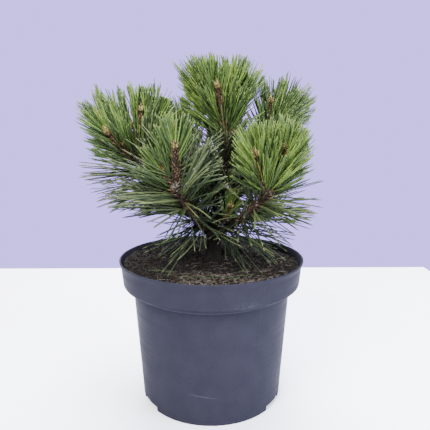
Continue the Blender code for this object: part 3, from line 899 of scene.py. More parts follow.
def stems_shown():
    """For each stem that shows from the front: its parts in the axis plane, and their depths."""
    shown = []
    for name, number, clearance, share in SHOWN_STEMS:
        mass = next(other for other in ALL_MASSES if other.name == name)
        points = shoot_line(mass, mass.shoots[number]).at(np.linspace(0.08, 1.0, 8))[0]
        flat = from_front(points)
        depths = 0.5 * (points[1:, 1] + points[:-1, 1])
        parts = list(zip(flat, flat[1:]))
        shown.append((parts, depths, clearance, share))
        shown.append((parts[-1:], depths[-1:], clearance + BUD_VIEW[0], BUD_VIEW[1]))
    return shown


LIMBS, LIMB_RADII = limb_segments()
STEMS_SHOWN = stems_shown()
SAMPLE_SHARES = np.array((0.14, 0.25, 0.36, 0.47, 0.58, 0.69, 0.8, 0.9, 1.0))


def taken(near, lot, share):
    """Which needles an open place leaves out: a share of those that have a sample in it."""
    crossing = near.reshape(len(lot), -1).any(axis=1)
    return crossing & (np.modf(lot)[0] < share)


def fits(mass, root, along, bend, sway, length, slack):
    """Which needles stay in their mass's space, clear of limbs, soil and rim."""
    samples = bent(root, along, bend, sway, length, SAMPLE_SHARES).reshape(-1, 3)
    own = distances(samples, segments_of(mass)).min(axis=1)
    others = [pair for other in ALL_MASSES if other is not mass for pair in segments_of(other)]
    foreign = distances(samples, others).min(axis=1)
    good = own < foreign + slack
    good &= (distances(samples, LIMBS) - LIMB_RADII).min(axis=1) > LIMB_CLEARANCE
    radius = np.hypot(samples[:, 0], samples[:, 1])
    ground = soil_height(radius, np.arctan2(samples[:, 1], samples[:, 0])) + 1.2
    floor = np.where(radius < COLLAR_TOP_RADIUS - 2.0 * WALL, ground, POT_HEIGHT + 1.0)
    floor = np.where(radius > RIM_RADIUS + 2.0, POT_HEIGHT - 4.0, floor)
    good &= samples[:, 2] > floor
    good &= samples[:, 0] < FURTHEST_RIGHT + FURTHEST_RIGHT_SLOPE * samples[:, 1]
    good &= samples[:, 2] < HIGHEST
    hanging = np.repeat(hangs(root), len(SAMPLE_SHARES))
    good &= samples[:, 2] > skirt_height(samples[:, 0], samples[:, 1], hanging) - SKIRT_MARGIN
    good = good.reshape(len(root), -1).all(axis=1)
    flat = from_front(samples)
    # Which needles an opening takes depends on where they root, so each choice is steady.
    lot = np.abs(root @ np.array(LOT_STEPS)) * 0.37
    for number, (side, height, radius, share) in enumerate(OPENINGS):
        near = np.hypot(flat[:, 0] - side, flat[:, 2] - height) < radius
        good &= ~taken(near, lot + 0.31 * number, share)
    for number, (parts, depths, clearance, share) in enumerate(STEMS_SHOWN):
        gaps = distances(flat, parts)
        in_front = samples[:, 1] < depths[gaps.argmin(axis=1)]
        near = (gaps.min(axis=1) < clearance) & in_front
        good &= ~taken(near, lot + 0.47 * number, share)
    return good


def shades_of(rng, whole, kind):
    """A shade for each needle: deeper ones are likelier at the foot of a shoot than at its end. The deep
    greens paint the shade inside a shoot, and the bright ones paint the light at its end.
    """
    foot, end = np.cumsum(kind.foot_shades), np.cumsum(kind.end_shades)
    steps = foot[None] + (end - foot)[None] * whole[:, None]
    return np.minimum((rng.random((len(whole), 1)) > steps).sum(axis=1), len(foot) - 1)


def set_round(rng, line, first, last, step, scatter=0.0):
    """Places along a line, and directions out from it that turn on by the golden angle."""
    count = max(2, round(line.length * (last - first) / step))
    whole = (np.arange(count) + 0.5) / count
    point, axis = line.at(first + (last - first) * whole)
    turn = rng.uniform(0.0, math.tau) + GOLDEN_ANGLE * np.arange(count)
    if scatter:
        turn = turn + rng.uniform(-scatter, scatter, count)
    return whole, point, axis, turn_towards(*across(axis), turn)


def grow_needles(batch, bases, rng, mass, line, first, last, step, kind, bare_share=1.0):
    """Set pairs of needles round a twig by the golden angle, each pair in its sheath."""
    whole, point, axis, outward = set_round(rng, line, first, last, step, TURN_SCATTER)
    count = len(whole)
    spread = np.radians(kind.spread(whole) + rng.uniform(-SPREAD_SCATTER, SPREAD_SCATTER, count))
    pointing = turn_towards(axis, outward, spread)
    leaders = rng.choice(count, max(3, count // LOCK_SIZE), replace=False)
    spray = leaders[np.argmax(pointing @ pointing[leaders].T, axis=1)]
    root = point + outward * kind.seat * mass.girth
    low_down = hangs(root)
    lock = np.where(low_down, LOW_LOCK, kind.lock)[:, None]
    pointing = unit(pointing * (1.0 - lock) + pointing[spray] * lock)
    round_about = np.cross(axis, outward)
    parting = turn_towards(round_about, np.cross(pointing, round_about), rng.uniform(-1.2, 1.2, count))
    parting = unit(parting - pointing * np.sum(parting * pointing, axis=1, keepdims=True))
    flat = np.cross(pointing, parting)
    opening = np.radians(rng.uniform(*kind.opening, count))
    reach = kind.length(mass, whole)
    length = reach * (1.0 + rng.uniform(-0.10, 0.07, count))
    ends = point + pointing * reach[:, None]

    shade = shades_of(rng, whole, kind)
    shared = shades_of(rng, whole, kind)
    shade = np.where(rng.random(count) < SHARED_SHADE, shared[spray], shade)
    # Painted shade: needles deep in a mass, rooted low, or ending low at the front often take the deep
    # green.
    shaded = low_down | ((ends[:, 2] < SHADED_ENDS) & (ends[:, 1] < FOOT_BACK))
    low_shade_share = np.where(ends[:, 0] > SUNNY_FROM, SUNNY_PAINTED_SHADE_SHARE, LOW_PAINTED_SHADE_SHARE)
    dim = PAINTED_SHADE_SHARES.get(mass.name, 0.0) * (OLD_SHADE_PART if kind.shape is OLD_NEEDLE else 1.0)
    shade_painted = rng.random(count) < np.maximum(dim, np.where(shaded, low_shade_share, 0.0))
    shade = np.where(shade_painted, PAINTED_SHADE_SLOT, shade)

    keep_front = rng.random(count)
    facing = outward[:, 1] < FACING[0] + (FACING[1] - FACING[0]) * bare_share * (0.6 + 0.8 * whole)
    kept = ~(facing & (keep_front < kind.bare_front * bare_share))
    lowest = (skirt_height(ends[:, 0], ends[:, 1], low_down) - point[:, 2]) / reach + 0.6 * kind.droop
    lowest = np.maximum(lowest, kind.lowest) - rng.exponential(STRAY_SLOPE, count)
    limit = np.where(ends[:, 0] < 0.0, *HANG_LIMITS)
    hang = low_down & (np.abs(ends[:, 0]) > HANG_OUT) & (pointing[:, 2] < limit)
    slope = rng.uniform(*HANG_SLOPES, count)
    pointing[:, 2] = np.where(hang, slope, pointing[:, 2])
    lifted = lowest + rng.uniform(0.2, 1.3, count) * (lowest - pointing[:, 2])
    pointing[:, 2] = np.where(pointing[:, 2] < lowest, lifted, pointing[:, 2])
    pointing = unit(pointing)
    low_sparse = np.where(ends[:, 0] < LEFT_FROM, LEFT_SPARSE, LOW_SPARSE)
    sparse = np.maximum(kind.sparse.get(mass.name, 0.0), np.where(low_down, low_sparse, 0.0))
    kept &= rng.random(count) > sparse

    slimness = np.where(low_down, LOW_SLIMNESS, 1.0)
    tips = face_shares(kind.shape) > kind.tip_share
    grown = np.zeros(count, bool)
    for hand in (-1.0, 1.0):
        along = turn_towards(pointing, parting, hand * opening)
        drift = rng.normal(0.0, kind.drift, (count, 3))
        bend = axis * rng.uniform(*kind.gather, count)[:, None] + drift
        bend[:, 2] -= kind.droop * rng.uniform(0.3, 1.0, count)
        bend -= parting * (hand * kind.close)
        sway = rng.normal(0.0, kind.drift * 0.8, (count, 3))
        own_length = length * (1.0 + rng.uniform(-0.04, 0.04, count))
        scale = np.ones(count)
        alive = kept.copy()
        waiting = kept.copy()
        while waiting.any():
            tried = [part[waiting] for part in (root, along, bend, sway, own_length * scale)]
            good = np.zeros(count, bool)
            good[waiting] = fits(mass, *tried, kind.slack)
            waiting &= ~good
            scale[waiting] -= 0.1
            alive &= ~(waiting & (scale < SHORTEST))
            waiting &= scale >= SHORTEST
        width = rng.uniform(*kind.width, count) * slimness
        depth = rng.uniform(*kind.depth, count)
        slots = np.where(tips[None, :], len(kind.foot_shades), shade[:, None])
        parts = (root, along, flat, parting, own_length * scale, width, depth, slots, bend, sway)
        batch.lay(kind.shape, *(part[alive] for part in parts))
        grown |= alive
    colour = rng.choice(len(SHEATHS), count, p=kind.sheath_shades)
    parts = (root, pointing, flat, parting, rng.uniform(*kind.sheath_length, count))
    bases.lay(
        SHEATH, *(part[grown] for part in parts), kind.sheath_width, kind.sheath_width, colour[grown],
    )


Kind = namedtuple(
    "Kind",
    "shape foot_shades end_shades lowest spread opening seat length bare_front drift gather droop close "
    "tip_share width depth sheath_length sheath_width sheath_shades slack lock sparse",
)


def spread_between(root, tip, power=1.0):
    """The rule for how far needles stand off their twig, from its foot to its end."""
    return lambda whole: root + (tip - root) * whole ** power


def young_length(mass, whole):
    """Young needles are shorter towards the bud."""
    return mass.young * (1.0 - (1.0 - YOUNG_TIP_SHARE) * whole ** 2)


def old_length(mass, whole):
    """Old needles are about as long all along a stem."""
    return mass.old * np.ones_like(whole)


YOUNG = Kind(
    shape=YOUNG_NEEDLE, foot_shades=(0.36, 0.32, 0.10, 0.22), end_shades=(0.42, 0.08, 0.38, 0.12),
    lowest=0.16, spread=spread_between(YOUNG_SPREAD_ROOT, YOUNG_SPREAD_TIP, YOUNG_SPREAD_POWER),
    opening=(1.5, 7.0), seat=1.2, length=young_length, bare_front=0.95, drift=0.025,
    gather=(0.05, 0.18), droop=0.0, close=0.02, tip_share=0.94, width=(1.15, 1.5),
    depth=(0.75, 1.0), sheath_length=(4.0, 7.0), sheath_width=1.7,
    sheath_shades=(0.45, 0.25, 0.30), slack=SPACE_SLACK, lock=0.26, sparse={},
)
OLD = Kind(
    shape=OLD_NEEDLE, foot_shades=(0.30, 0.44, 0.14, 0.12), end_shades=(0.34, 0.26, 0.20, 0.20),
    lowest=-1.0, spread=spread_between(OLD_SPREAD_ROOT, OLD_SPREAD_TIP), opening=(2.0, 7.0),
    seat=2.4, length=old_length, bare_front=0.35, drift=0.030, gather=(-0.02, 0.12), droop=DROOP,
    close=0.02, tip_share=0.95, width=(1.5, 1.9), depth=(0.85, 1.1), sheath_length=(2.5, 4.5),
    sheath_width=2.0, sheath_shades=(0.25, 0.60, 0.15), slack=OLD_SPACE_SLACK, lock=0.32,
    sparse=OLD_SPARSE,
)
SCALY = OLD._replace(
    spread=spread_between(78.0, 52.0), bare_front=0.95, droop=0.05, seat=2.8, width=(1.25, 1.6),
    foot_shades=(0.38, 0.06, 0.28, 0.28), end_shades=(0.34, 0.02, 0.36, 0.28),
)
# Front-left's old needles take lighter greens: painted light.
SUNLIT = OLD._replace(foot_shades=(0.36, 0.26, 0.19, 0.19), end_shades=(0.38, 0.10, 0.28, 0.24))
UPPER = OLD._replace(
    spread=spread_between(76.0, 36.0), foot_shades=(0.40, 0.24, 0.18, 0.18),
    end_shades=(0.44, 0.16, 0.18, 0.22), droop=0.0, sparse={}, bare_front=0.25, slack=45.0, width=(1.3, 1.7),
)
OLD_KINDS = {"top": UPPER, "front_left": SUNLIT}
# The shaded shoot and the leader's foot take deeper greens: painted shade.
SHADED = YOUNG._replace(foot_shades=(0.30, 0.50, 0.0, 0.20), end_shades=(0.44, 0.28, 0.08, 0.20))
LEADER_SHADED_FOOT = YOUNG._replace(foot_shades=(0.28, 0.50, 0.04, 0.18))
FRESH = YOUNG._replace(
    foot_shades=(0.4, 0.6), end_shades=(0.7, 0.3), width=(1.1, 1.4), sheath_length=(1.5, 3.0),
    bare_front=0.2,
)
YOUNG_KINDS = {"top": LEADER_SHADED_FOOT, "low": FRESH}
# The leader also carries old needles on the trunk, from this height.
UPPER_FROM = 208.0

# Scales by place: length, width and thickness, how far they stand off, and the share of each shade.
STEM_SCALES = {"size": (3.4, 2.4, 1.1), "lift": (12.0, 40.0), "weights": (0.22, 0.40, 0.16, 0.22)}
SHOOT_SCALES = {"size": (3.1, 1.4, 0.8), "lift": (6.0, 38.0), "weights": (0.46, 0.24, 0.24, 0.06)}
SHOOT_FOOT_SCALES = {
    "size": (4.2, 2.6, 1.0), "lift": (20.0, 65.0), "weights": (0.20, 0.20, 0.20, 0.40),
}
SCALY_SCALES = {
    "size": (4.8, 2.5, 1.2), "lift": (12.0, 32.0), "weights": (0.33, 0.12, 0.55, 0.0), "dark_foot": True,
}
SCALY_FOOT_SCALES = {
    "size": (4.6, 3.0, 1.3), "lift": (20.0, 60.0), "weights": (0.10, 0.15, 0.20, 0.55),
}
BUD_SCALES = 20


# Twigs, scales and buds

def add_scales(batch, rng, line, first, last, step, seat, size, lift, weights, dark_foot=False):
    """Small pointed scales set round a twig by the golden angle, tips forward."""
    whole, point, axis, outward = set_round(rng, line, first, last, step)
    count = len(whole)
    along = turn_towards(axis, outward, np.radians(rng.uniform(*lift, count)))
    side = np.cross(axis, outward)
    grow = rng.uniform(0.75, 1.2, count) * np.linspace(1.12, 0.82, count)
    slots = np.repeat(rng.choice(len(weights), count, p=weights)[:, None], len(SCALE.faces), axis=1)
    if dark_foot:
        slots[:, face_shares(SCALE) < 0.4] = DARK_SCALE
    lengths, widths, depths = (part * grow for part in size)
    batch.lay(
        SCALE, point + outward * seat, along, side, np.cross(along, side), lengths, widths, depths, slots,
    )


def add_bud(buds, rng, root, along, length, width):
    """One bud: a pointed body wrapped in overlapping scales."""
    along = unit(along)[None]
    side, face = across(along)
    buds.lay(BUD, root[None], along, side, face, length, width, width, 0)
    share = (np.arange(BUD_SCALES) + 0.5) / BUD_SCALES
    body = np.interp(share, (0.0, 0.14, 0.36, 0.6, 0.8, 1.0), (0.6, 0.96, 1.0, 0.78, 0.46, 0.1))
    outward = turn_towards(side, face, GOLDEN_ANGLE * np.arange(BUD_SCALES) + rng.uniform(0.0, 6.28))
    lean = np.interp(share, (0.0, 0.4, 1.0), (24.0, 4.0, -12.0)) + rng.uniform(-4.0, 8.0, BUD_SCALES)
    pointing = turn_towards(along, outward, np.radians(lean))
    across_scale = np.cross(along, outward)
    seat = root + along * (share * length * 0.86)[:, None] + outward * (0.46 * width * body)[:, None]
    buds.lay(
        SCALE, seat, pointing, across_scale, np.cross(pointing, across_scale), 0.30 * length,
        0.58 * width * (0.6 + 0.4 * body), 0.5, rng.choice(3, BUD_SCALES, p=(0.3, 0.42, 0.28)),
    )


def add_bud_cluster(buds, rng, tip, axis, girth):
    """The buds at a shoot's end: one tall in the middle and shorter ones round it."""
    root = tip - axis * 6.5 * girth
    add_bud(buds, rng, root, axis, 9.3 * girth, 3.7 * girth)
    right, back = across(axis[None])
    turn = rng.uniform(0.0, 6.28)
    for index in range(int(rng.integers(4, 6))):
        turn += math.tau / 5.0 + rng.uniform(-0.4, 0.4)
        outward = right[0] * math.cos(turn) + back[0] * math.sin(turn)
        along = axis + outward * rng.uniform(0.25, 0.55)
        add_bud(buds, rng, root + outward * 1.6 * girth, along, rng.uniform(5.5, 8.0) * girth, 2.8 * girth)


def make_mass(mass, seed):
    """One mass: its stem, shoots, sheaths, scales, buds, and its young and old needles."""
    rng = np.random.default_rng(seed)
    greens = FRESH_GREENS if mass is FOOT_SHOOT else YOUNG_GREENS
    finishes = {
        "young_needles": [*greens, YOUNG_TIP], "old_needles": [*OLD_GREENS, OLD_TIP], "sheaths": SHEATHS,
        "twigs": [YOUNG_BARK, GREY_BARK], "scales": SCALES, "buds": BUD_SKINS,
    }
    batches = {part: Batch() for part in finishes}
    young, old, bases, twigs, scales, buds = batches.values()
    stem = stem_line(mass)
    low, high = mass.girth * STEM_RADIUS, mass.girth * WHORL_RADIUS
    add_sleeve(twigs, stem, lambda share, angle: low + (high - low) * share, limb_relief, *STEM_GRID, slot=1)
    add_scales(scales, rng, stem, 0.02, 1.0, 0.55, 0.8 * low, **STEM_SCALES)
    old_step = OLD_STEP * OLD_STEPS.get(mass.name, 1.0)
    old_kind = OLD_KINDS.get(mass.name, OLD)
    if mass.old:
        grow_needles(old, bases, rng, mass, stem, 0.02, 0.99, old_step, old_kind)
    if mass is LEADER:
        upper = trunk_line(UPPER_FROM, 10)
        grow_needles(old, bases, rng, mass, upper, 0.0, 1.0, OLD_STEP, UPPER)
        add_scales(scales, rng, upper, 0.0, 1.0, 0.6, 3.6, **STEM_SCALES)
    if mass in MASSES:
        grow_needles(old, bases, rng, mass, bough_line(mass), 0.15, 1.0, old_step, old_kind)
    for number, shoot in enumerate((*mass.shoots, *FINER_SHOOTS.get(mass.name, ()))):
        line = shoot_line(mass, shoot)
        scaly = (mass.name, number) == SCALY_SHOOT
        thick = SCALY_GIRTH if scaly else mass.girth

        def shoot_radius(share, angle):
            return thick * float(np.interp(share, (0.0, 0.4, 0.8, 1.0), SHOOT_RADII))

        def shoot_relief(vert):
            return plates(vert, *SHOOT_PLATES)
        add_sleeve(twigs, line, shoot_radius, shoot_relief, *SHOOT_GRID, int(scaly))
        first = YOUNG_FIRST
        if scaly:
            first = SCALY_SHARE
            add_scales(scales, rng, line, 0.0, 0.88, 0.42, 2.1, **SCALY_SCALES)
            add_scales(scales, rng, line, 0.0, 0.20, 0.12, 3.0, **SCALY_FOOT_SCALES)
            grow_needles(old, bases, rng, mass, line, 0.02, SCALY_SHARE, OLD_STEP, SCALY)
        else:
            add_scales(scales, rng, line, 0.0, 0.9, 0.32, 1.6 * mass.girth, **SHOOT_SCALES)
        add_scales(scales, rng, line, 0.0, 0.09, 0.16, 2.0 * mass.girth, **SHOOT_FOOT_SCALES)
        bare_share = BARE_SHARES[mass.name][number] if mass.name in BARE_SHARES else BARE_SHARE
        kind = SHADED if (mass.name, number) == SHADED_SHOOT else YOUNG_KINDS.get(mass.name, YOUNG)
        grow_needles(young, bases, rng, mass, line, first, YOUNG_LAST, YOUNG_STEP, kind, bare_share)
        tip, axis = line.at(np.array([1.0]))
        bud_girth = SCALY_BUD_GIRTH if scaly else max(LEAST_BUD_GIRTH, mass.girth)
        add_bud_cluster(buds, rng, tip[0], axis[0], bud_girth)
    for part, batch in batches.items():
        if batch.count:
            piece = batch.piece(part + "_" + mass.name, finishes[part])
            place_piece(piece, ["needles_" + mass.name])


# The pot and its soil

def spun(outline, steps):
    """A closed skin, spun round the upright axis from an outline of radii and heights."""
    bm = bmesh.new()
    verts = [bm.verts.new((radius, 0.0, height)) for radius, height in outline]
    edges = [bm.edges.new(pair) for pair in zip(verts, verts[1:])]
    bmesh.ops.spin(
        bm, geom=verts + edges, cent=(0, 0, 0), axis=(0, 0, 1),
        angle=math.tau, steps=steps, use_merge=True, use_duplicate=False,
    )
    bmesh.ops.remove_doubles(bm, verts=bm.verts, dist=0.001)
    bmesh.ops.recalc_face_normals(bm, faces=bm.faces)
    return bm


def on_ring(vert, radius, height):
    """Whether a vertex lies on the ring of a radius at a height."""
    return abs(math.hypot(vert.co.x, vert.co.y) - radius) < 0.02 and abs(vert.co.z - height) < 0.02


def bend_bar(heading, inside, outside):
    """A cutter for one drain notch: a bent bar that crosses the foot below the floor."""
    bm = bmesh.new()
    bmesh.ops.create_cube(bm, size=1.0)
    lengthwise = [edge for edge in bm.edges if abs(edge.verts[0].co.x - edge.verts[1].co.x) > 0.5]
    bmesh.ops.subdivide_edges(bm, edges=lengthwise, cuts=7, use_grid_fill=True)
    for vert in bm.verts:
        radius = inside + (outside - inside) * (vert.co.y + 0.5)
        height = -NOTCH_MARGIN + (NOTCH_HEIGHT + NOTCH_MARGIN) * (vert.co.z + 0.5)
        vert.co = polar(heading + NOTCH_ARC * vert.co.x, radius, height)
    bmesh.ops.recalc_face_normals(bm, faces=bm.faces)
    return object_of("notch_cutter", bm, [NOTCH_SHADE])


def make_pot():
    """The pot: spun wall, wide collar, rounded lip, lifted floor, mould seam and notched foot."""
    lip = POT_HEIGHT - LIP_HEIGHT
    under_lip = lip - 1.6 * LIP_HEIGHT
    foot_inside = BASE_RADIUS - FOOT_WIDTH
    # Outer corners that are rounded: radius, height and size.
    foot = (BASE_RADIUS, FOOT_CHAMFER, 0.5)
    neck = (NECK_RADIUS, NECK_HEIGHT - NECK_DROP, 0.6)
    band = (COLLAR_RADIUS + BAND_SWELL, BAND_HEIGHT - BAND_DROP, 1.2)
    collar_top = (COLLAR_TOP_RADIUS, under_lip, 1.6)
    rim = ((RIM_RADIUS, lip + 0.4 * LIP_HEIGHT, 0.5), (RIM_RADIUS, POT_HEIGHT, 0.5))
    brim = (RIM_RADIUS - BRIM_WIDTH, POT_HEIGHT, 0.5)
    rounded = (foot, neck, band, collar_top, *rim, brim)
    outline = (
        (0.0, 0.0),
        (PAD_RADIUS, 0.0),
        (PAD_RADIUS + FOOT_CHAMFER, FLOOR_LIFT),
        (foot_inside, FLOOR_LIFT),
        (foot_inside + FOOT_CHAMFER, 0.0),
        (BASE_RADIUS - FOOT_CHAMFER, 0.0),
        *((radius, height) for radius, height, size in rounded),
        (inner_radius(lip - LIP_HEIGHT), under_lip),
        (inner_radius(BAND_HEIGHT), BAND_HEIGHT),
        (inner_radius(NECK_HEIGHT), NECK_HEIGHT),
        (inner_radius(FLOOR_TOP), FLOOR_TOP),
        (0.0, FLOOR_TOP),
    )
    bm = spun(outline, POT_STEPS)
    for radius, height, size in rounded:
        ring = [edge for edge in bm.edges if all(on_ring(vert, radius, height) for vert in edge.verts)]
        round_edges(bm, ring, size, 4)
    add_seam(bm)
    pot = object_of("nursery_pot", bm, [pot_finish()], smooth_below=32.0)
    for heading in NOTCH_HEADINGS:
        cutter = bend_bar(heading, foot_inside - NOTCH_MARGIN, BASE_RADIUS + NOTCH_MARGIN)
        cut = pot.modifiers.new("notch", "BOOLEAN")
        cut.operation = "DIFFERENCE"
        cut.solver = "EXACT"
        # The notches' faces take the cutter's near-black finish: painted shade.
        cut.material_mode = "TRANSFER"
        cut.object = cutter
        evaluated = pot.evaluated_get(bpy.context.evaluated_depsgraph_get())
        result = bpy.data.meshes.new_from_object(evaluated)
        pot.modifiers.clear()
        pot.data = result
        bpy.data.objects.remove(cutter)
    place_piece(pot, ["pot"])


def add_seam(bm):
    """A fine raised line down the pot's outside, where its mould parted."""
    angle = math.radians(SEAM_HEADING)
    outward = Vector((math.cos(angle), math.sin(angle), 0.0))
    square = Vector((-math.sin(angle), math.cos(angle), 0.0))
    for offset in (-0.7, -0.25, 0.25, 0.7):
        bmesh.ops.bisect_plane(
            bm, geom=bm.verts[:] + bm.edges[:] + bm.faces[:], dist=0.0005,
            plane_co=square * offset, plane_no=square,
        )
    for vert in bm.verts:
        sideways = vert.co.dot(square)
        reach = abs(vert.co.dot(outward))
        on_wall = reach > outer_radius(vert.co.z) - 0.6 and 6.0 < vert.co.z < POT_HEIGHT - 3.0
        if abs(sideways) < 0.3 and on_wall:
            vert.co += outward * (SEAM_HEIGHT if vert.co.dot(outward) > 0.0 else -SEAM_HEIGHT)


def make_soil():
    """The soil: a spun plug with a crumbly top."""
    edge_height = SOIL_TOP - SOIL_EDGE_DROP + SOIL_BANK - SOIL_BANK_LEAN
    edge_radius = inner_radius(edge_height) - SOIL_INSET
    outline = [(0.0, FLOOR_TOP + 0.3)]
    for height in (FLOOR_TOP + 0.3, NECK_HEIGHT, BAND_HEIGHT, edge_height):
        outline.append((inner_radius(height) - SOIL_INSET, height))
    for ring in range(1, SOIL_RINGS + 1):
        outline.append((edge_radius * (1.0 - ring / SOIL_RINGS), edge_height + 1.0))
    bm = spun(outline, SOIL_STEPS)
    for vert in bm.verts:
        if vert.co.z < edge_height - 0.01:
            continue
        height = float(soil_height(math.hypot(vert.co.x, vert.co.y), math.atan2(vert.co.y, vert.co.x)))
        spot = Vector((vert.co.x, vert.co.y, 0.0))
        lumps = 1.1 * noise.fractal(spot / 9.0, 0.9, 2.1, 4)
        clods = 1.5 * (0.5 - noise.voronoi(spot / 5.0)[0][0])
        vert.co.z = height + lumps + clods
    place_piece(object_of("peat_bed", bm, [PEAT], smooth_below=70.0), ["soil"])
    rng = np.random.default_rng(SOIL_SEED)
    make_crumbs(rng, edge_radius)
    make_fibres(rng, edge_radius)


def on_soil(radius, angle, lift):
    """Points on the soil, lifted off it."""
    height = soil_height(radius, angle) + lift
    return np.stack([radius * np.cos(angle), radius * np.sin(angle), height], axis=-1)


def make_crumbs(rng, edge_radius):
    """Loose crumbs on the soil, paler at its front and darker on its left, where they paint the pot wall's
    shade.
    """
    count = CRUMB_COUNT
    crumb = bmesh.new()
    bmesh.ops.create_icosphere(crumb, subdivisions=1, radius=1.0)
    for vert in crumb.verts:
        vert.co *= 0.75 + 0.45 * noise.noise(vert.co * 1.7 + Vector((3.1, 0.4, 1.9)))
    radius = (edge_radius - 0.8) * np.sqrt(rng.uniform(0.004, 1.0, count))
    angle = rng.uniform(0.0, math.tau, count)
    size = 0.45 + 1.6 * rng.random(count) ** 3
    along = unit(rng.normal(0.0, 1.0, (count, 3)))
    centre = on_soil(radius, angle, 0.25 * size + rng.uniform(-0.3, 0.6, count))
    front = ramp(-centre[:, 1], *FRONT_START) * ramp(centre[:, 0], *FRONT_LEFT)
    # Painted shade: towards the left, where the pot's wall shades the soil, more crumbs are dark.
    shade = ramp(-centre[:, 0], *SHADE_START) * (1.0 - front)
    pick = rng.random(count)
    patch = np.array([noise.noise(Vector((x / 8.0, y / 8.0, 0.5))) for x, y in centre[:, :2]])
    pick = np.clip(pick + (0.25 + 0.75 * front) * patch - 0.10, 0.0, 1.0)
    steps = [pick < level + paler * front + darker * shade for level, paler, darker in CRUMB_LEVELS]
    slots = np.select(steps, [0, 1, 2], 3)
    size = np.array(CRUMB_SIZES)[slots] * size
    crumbs = Batch()
    crumbs.lay(
        shape_of(crumb), centre, along, *across(along), size * rng.uniform(0.7, 1.2, count),
        2.0 * size, 1.6 * size * rng.uniform(0.6, 1.2, count), slots,
    )
    place_piece(crumbs.piece("soil_crumbs", CRUMBS, smooth=False), ["soil"])


def make_fibres(rng, edge_radius):
    """Fibres on the soil, many of them at its front, and a few fallen needles."""
    count = FIBRE_COUNT
    at_front = slice(count - FRONT_FIBRES, count)
    radius = (edge_radius - 4.0) * np.sqrt(rng.uniform(0.01, 1.0, count))
    angle = rng.uniform(0.0, math.tau, count)
    angle[at_front] = rng.normal(1.52 * math.pi, 0.45, FRONT_FIBRES)
    radius[at_front] = (edge_radius - 4.0) * rng.uniform(0.62, 1.0, FRONT_FIBRES)
    root = on_soil(radius, angle, rng.uniform(0.2, 1.2, count))
    heading = rng.uniform(0.0, math.tau, count)
    along = unit(np.stack([np.cos(heading), np.sin(heading), rng.uniform(-0.12, 0.25, count)], axis=-1))
    bend = rng.normal(0.0, 0.28, (count, 3))
    bend[:, 2] = -np.abs(0.3 * bend[:, 2])
    length = rng.uniform(2.0, 9.0, count)
    ends = root + along * length[:, None]
    inside = np.hypot(ends[:, 0], ends[:, 1]) < edge_radius - 2.0
    width = rng.uniform(0.22, 0.5, count)
    slots = rng.choice(3, count, p=(0.62, 0.35, 0.03))
    slots[at_front] = rng.choice(2, FRONT_FIBRES, p=(0.45, 0.55))
    # On the left most fibres take the dark brown: painted shade of the pot's wall.
    slots = np.where((root[:, 0] < -30.0) & (rng.random(count) < 0.75), 0, slots)
    parts = (root, along, *across(along), length, width, width, slots, bend)
    fibres = Batch()
    fibres.lay(OLD_NEEDLE, *(part[inside] for part in parts))
    lay_fallen(fibres, rng, edge_radius)
    place_piece(fibres.piece("soil_fibres", STRAW), ["soil"])


def lay_fallen(fibres, rng, edge_radius):
    """A few fallen green needles that lie on the soil, most of them at the front."""
    count = FALLEN_COUNT
    radius = (edge_radius - 8.0) * np.sqrt(rng.uniform(0.15, 1.0, count))
    angle = np.radians(rng.normal(280.0, 60.0, count))
    middle = np.stack([radius * np.cos(angle), radius * np.sin(angle)], axis=-1)
    heading = rng.uniform(0.0, math.tau, count)
    level = np.stack([np.cos(heading), np.sin(heading)], axis=-1)
    length = rng.uniform(14.0, 34.0, count)
    ends = []
    furthest = np.zeros(count)
    for side, lift in ((-0.5, 2.2), (0.5, 1.8)):
        x, y = (middle + level * (side * length)[:, None]).T
        out = np.hypot(x, y)
        ends.append(np.column_stack([x, y, soil_height(out, np.arctan2(y, x)) + lift]))
        furthest = np.maximum(furthest, out)
    inside = furthest < edge_radius - 3.0
    along = (ends[1] - ends[0]) / length[:, None]
    bend = rng.normal(0.0, 0.05, (count, 3)) * (1.0, 1.0, 0.0)
    parts = (ends[0], along, *across(unit(along)), length)
    fibres.lay(OLD_NEEDLE, *(part[inside] for part in parts), 0.95, 0.7, GREEN_STRAW, bend[inside])


# The stage, lights and camera

TABLE = (880.0, 880.0, 20.0)
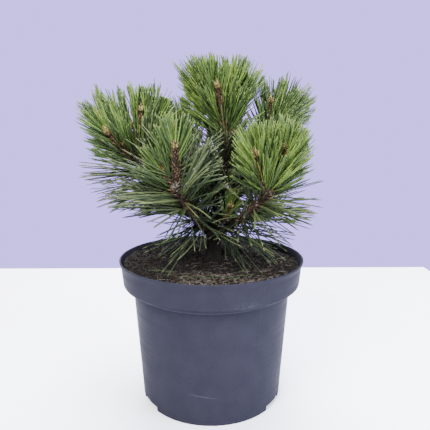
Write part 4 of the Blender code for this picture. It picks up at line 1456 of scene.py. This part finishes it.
# Studio lights: name, place in metres, size, power and tint.
LIGHTS = (
    ("key", (-0.58, -1.15, 1.35), 1.1, 117.0, (1.0, 0.985, 0.96)),
    ("fill", (1.15, -0.65, 0.80), 1.0, 64.0, (0.88, 0.92, 1.0)),
    ("top", (0.10, 0.45, 1.55), 1.1, 125.0, (0.97, 0.97, 1.0)),
    ("back", (-0.35, 1.35, 0.95), 1.2, 45.0, (0.95, 0.96, 1.0)),
)
LIT_PLACE = Vector((0.0, 0.0, 0.20))


def make_stage():
    """A plain pale table top, a pale violet backdrop and soft studio light."""
    bm = bmesh.new()
    bmesh.ops.create_cube(bm, size=1.0)
    bmesh.ops.scale(bm, vec=TABLE, verts=bm.verts)
    bmesh.ops.translate(bm, vec=(0.0, 0.0, -0.5 * TABLE[2]), verts=bm.verts)
    round_edges(bm, bm.edges[:], 2.0, 3)
    top = object_of("table_top", bm, [toned("pale_table", (0.84, 0.85, 0.95), 0.55, drift=0.02, grain=3.0)])
    world = bpy.data.worlds.new("backdrop")
    world.use_nodes = True
    nodes = world.node_tree.nodes
    room = nodes["Background"]
    feed(world, room, {"Color": (0.78, 0.80, 0.95, 1.0), "Strength": 0.9})
    paper = add_node(world, "ShaderNodeBackground", {"Color": (1.06, 0.83, 2.35, 1.0)})
    path = add_node(world, "ShaderNodeLightPath", {})
    seen = add_node(world, "ShaderNodeMixShader", {
        "Fac": path.outputs["Is Camera Ray"], 1: room.outputs["Background"], 2: paper.outputs["Background"],
    })
    feed(world, nodes["World Output"], {"Surface": seen.outputs["Shader"]})
    bpy.context.scene.world = world
    for name, spot, size, power, tint in LIGHTS:
        data = bpy.data.lights.new(name, "AREA")
        data.shape = "DISK"
        data.size = size
        data.energy = power
        data.color = tint
        light = linked(name, data)
        light.location = spot
        light.rotation_euler = (LIT_PLACE - Vector(spot)).to_track_quat("-Z", "Y").to_euler()


def make_camera():
    """A camera at the photo's viewing angle."""
    data = bpy.data.cameras.new("camera")
    data.sensor_width = SENSOR
    data.lens = LENS
    camera = linked("camera", data)
    camera.location = [MM * part for part in CAMERA_PLACE]
    camera.rotation_euler = (0.5 * math.pi - CAMERA_TILT, 0.0, CAMERA_TURN)
    bpy.context.scene.camera = camera


make_stage()
make_camera()
make_pot()
make_soil()
make_trunk()
for bough_mass in MASSES:
    make_bough(bough_mass)
for mass_number, grown_mass in enumerate(ALL_MASSES):
    make_mass(grown_mass, FIRST_SEED + mass_number)
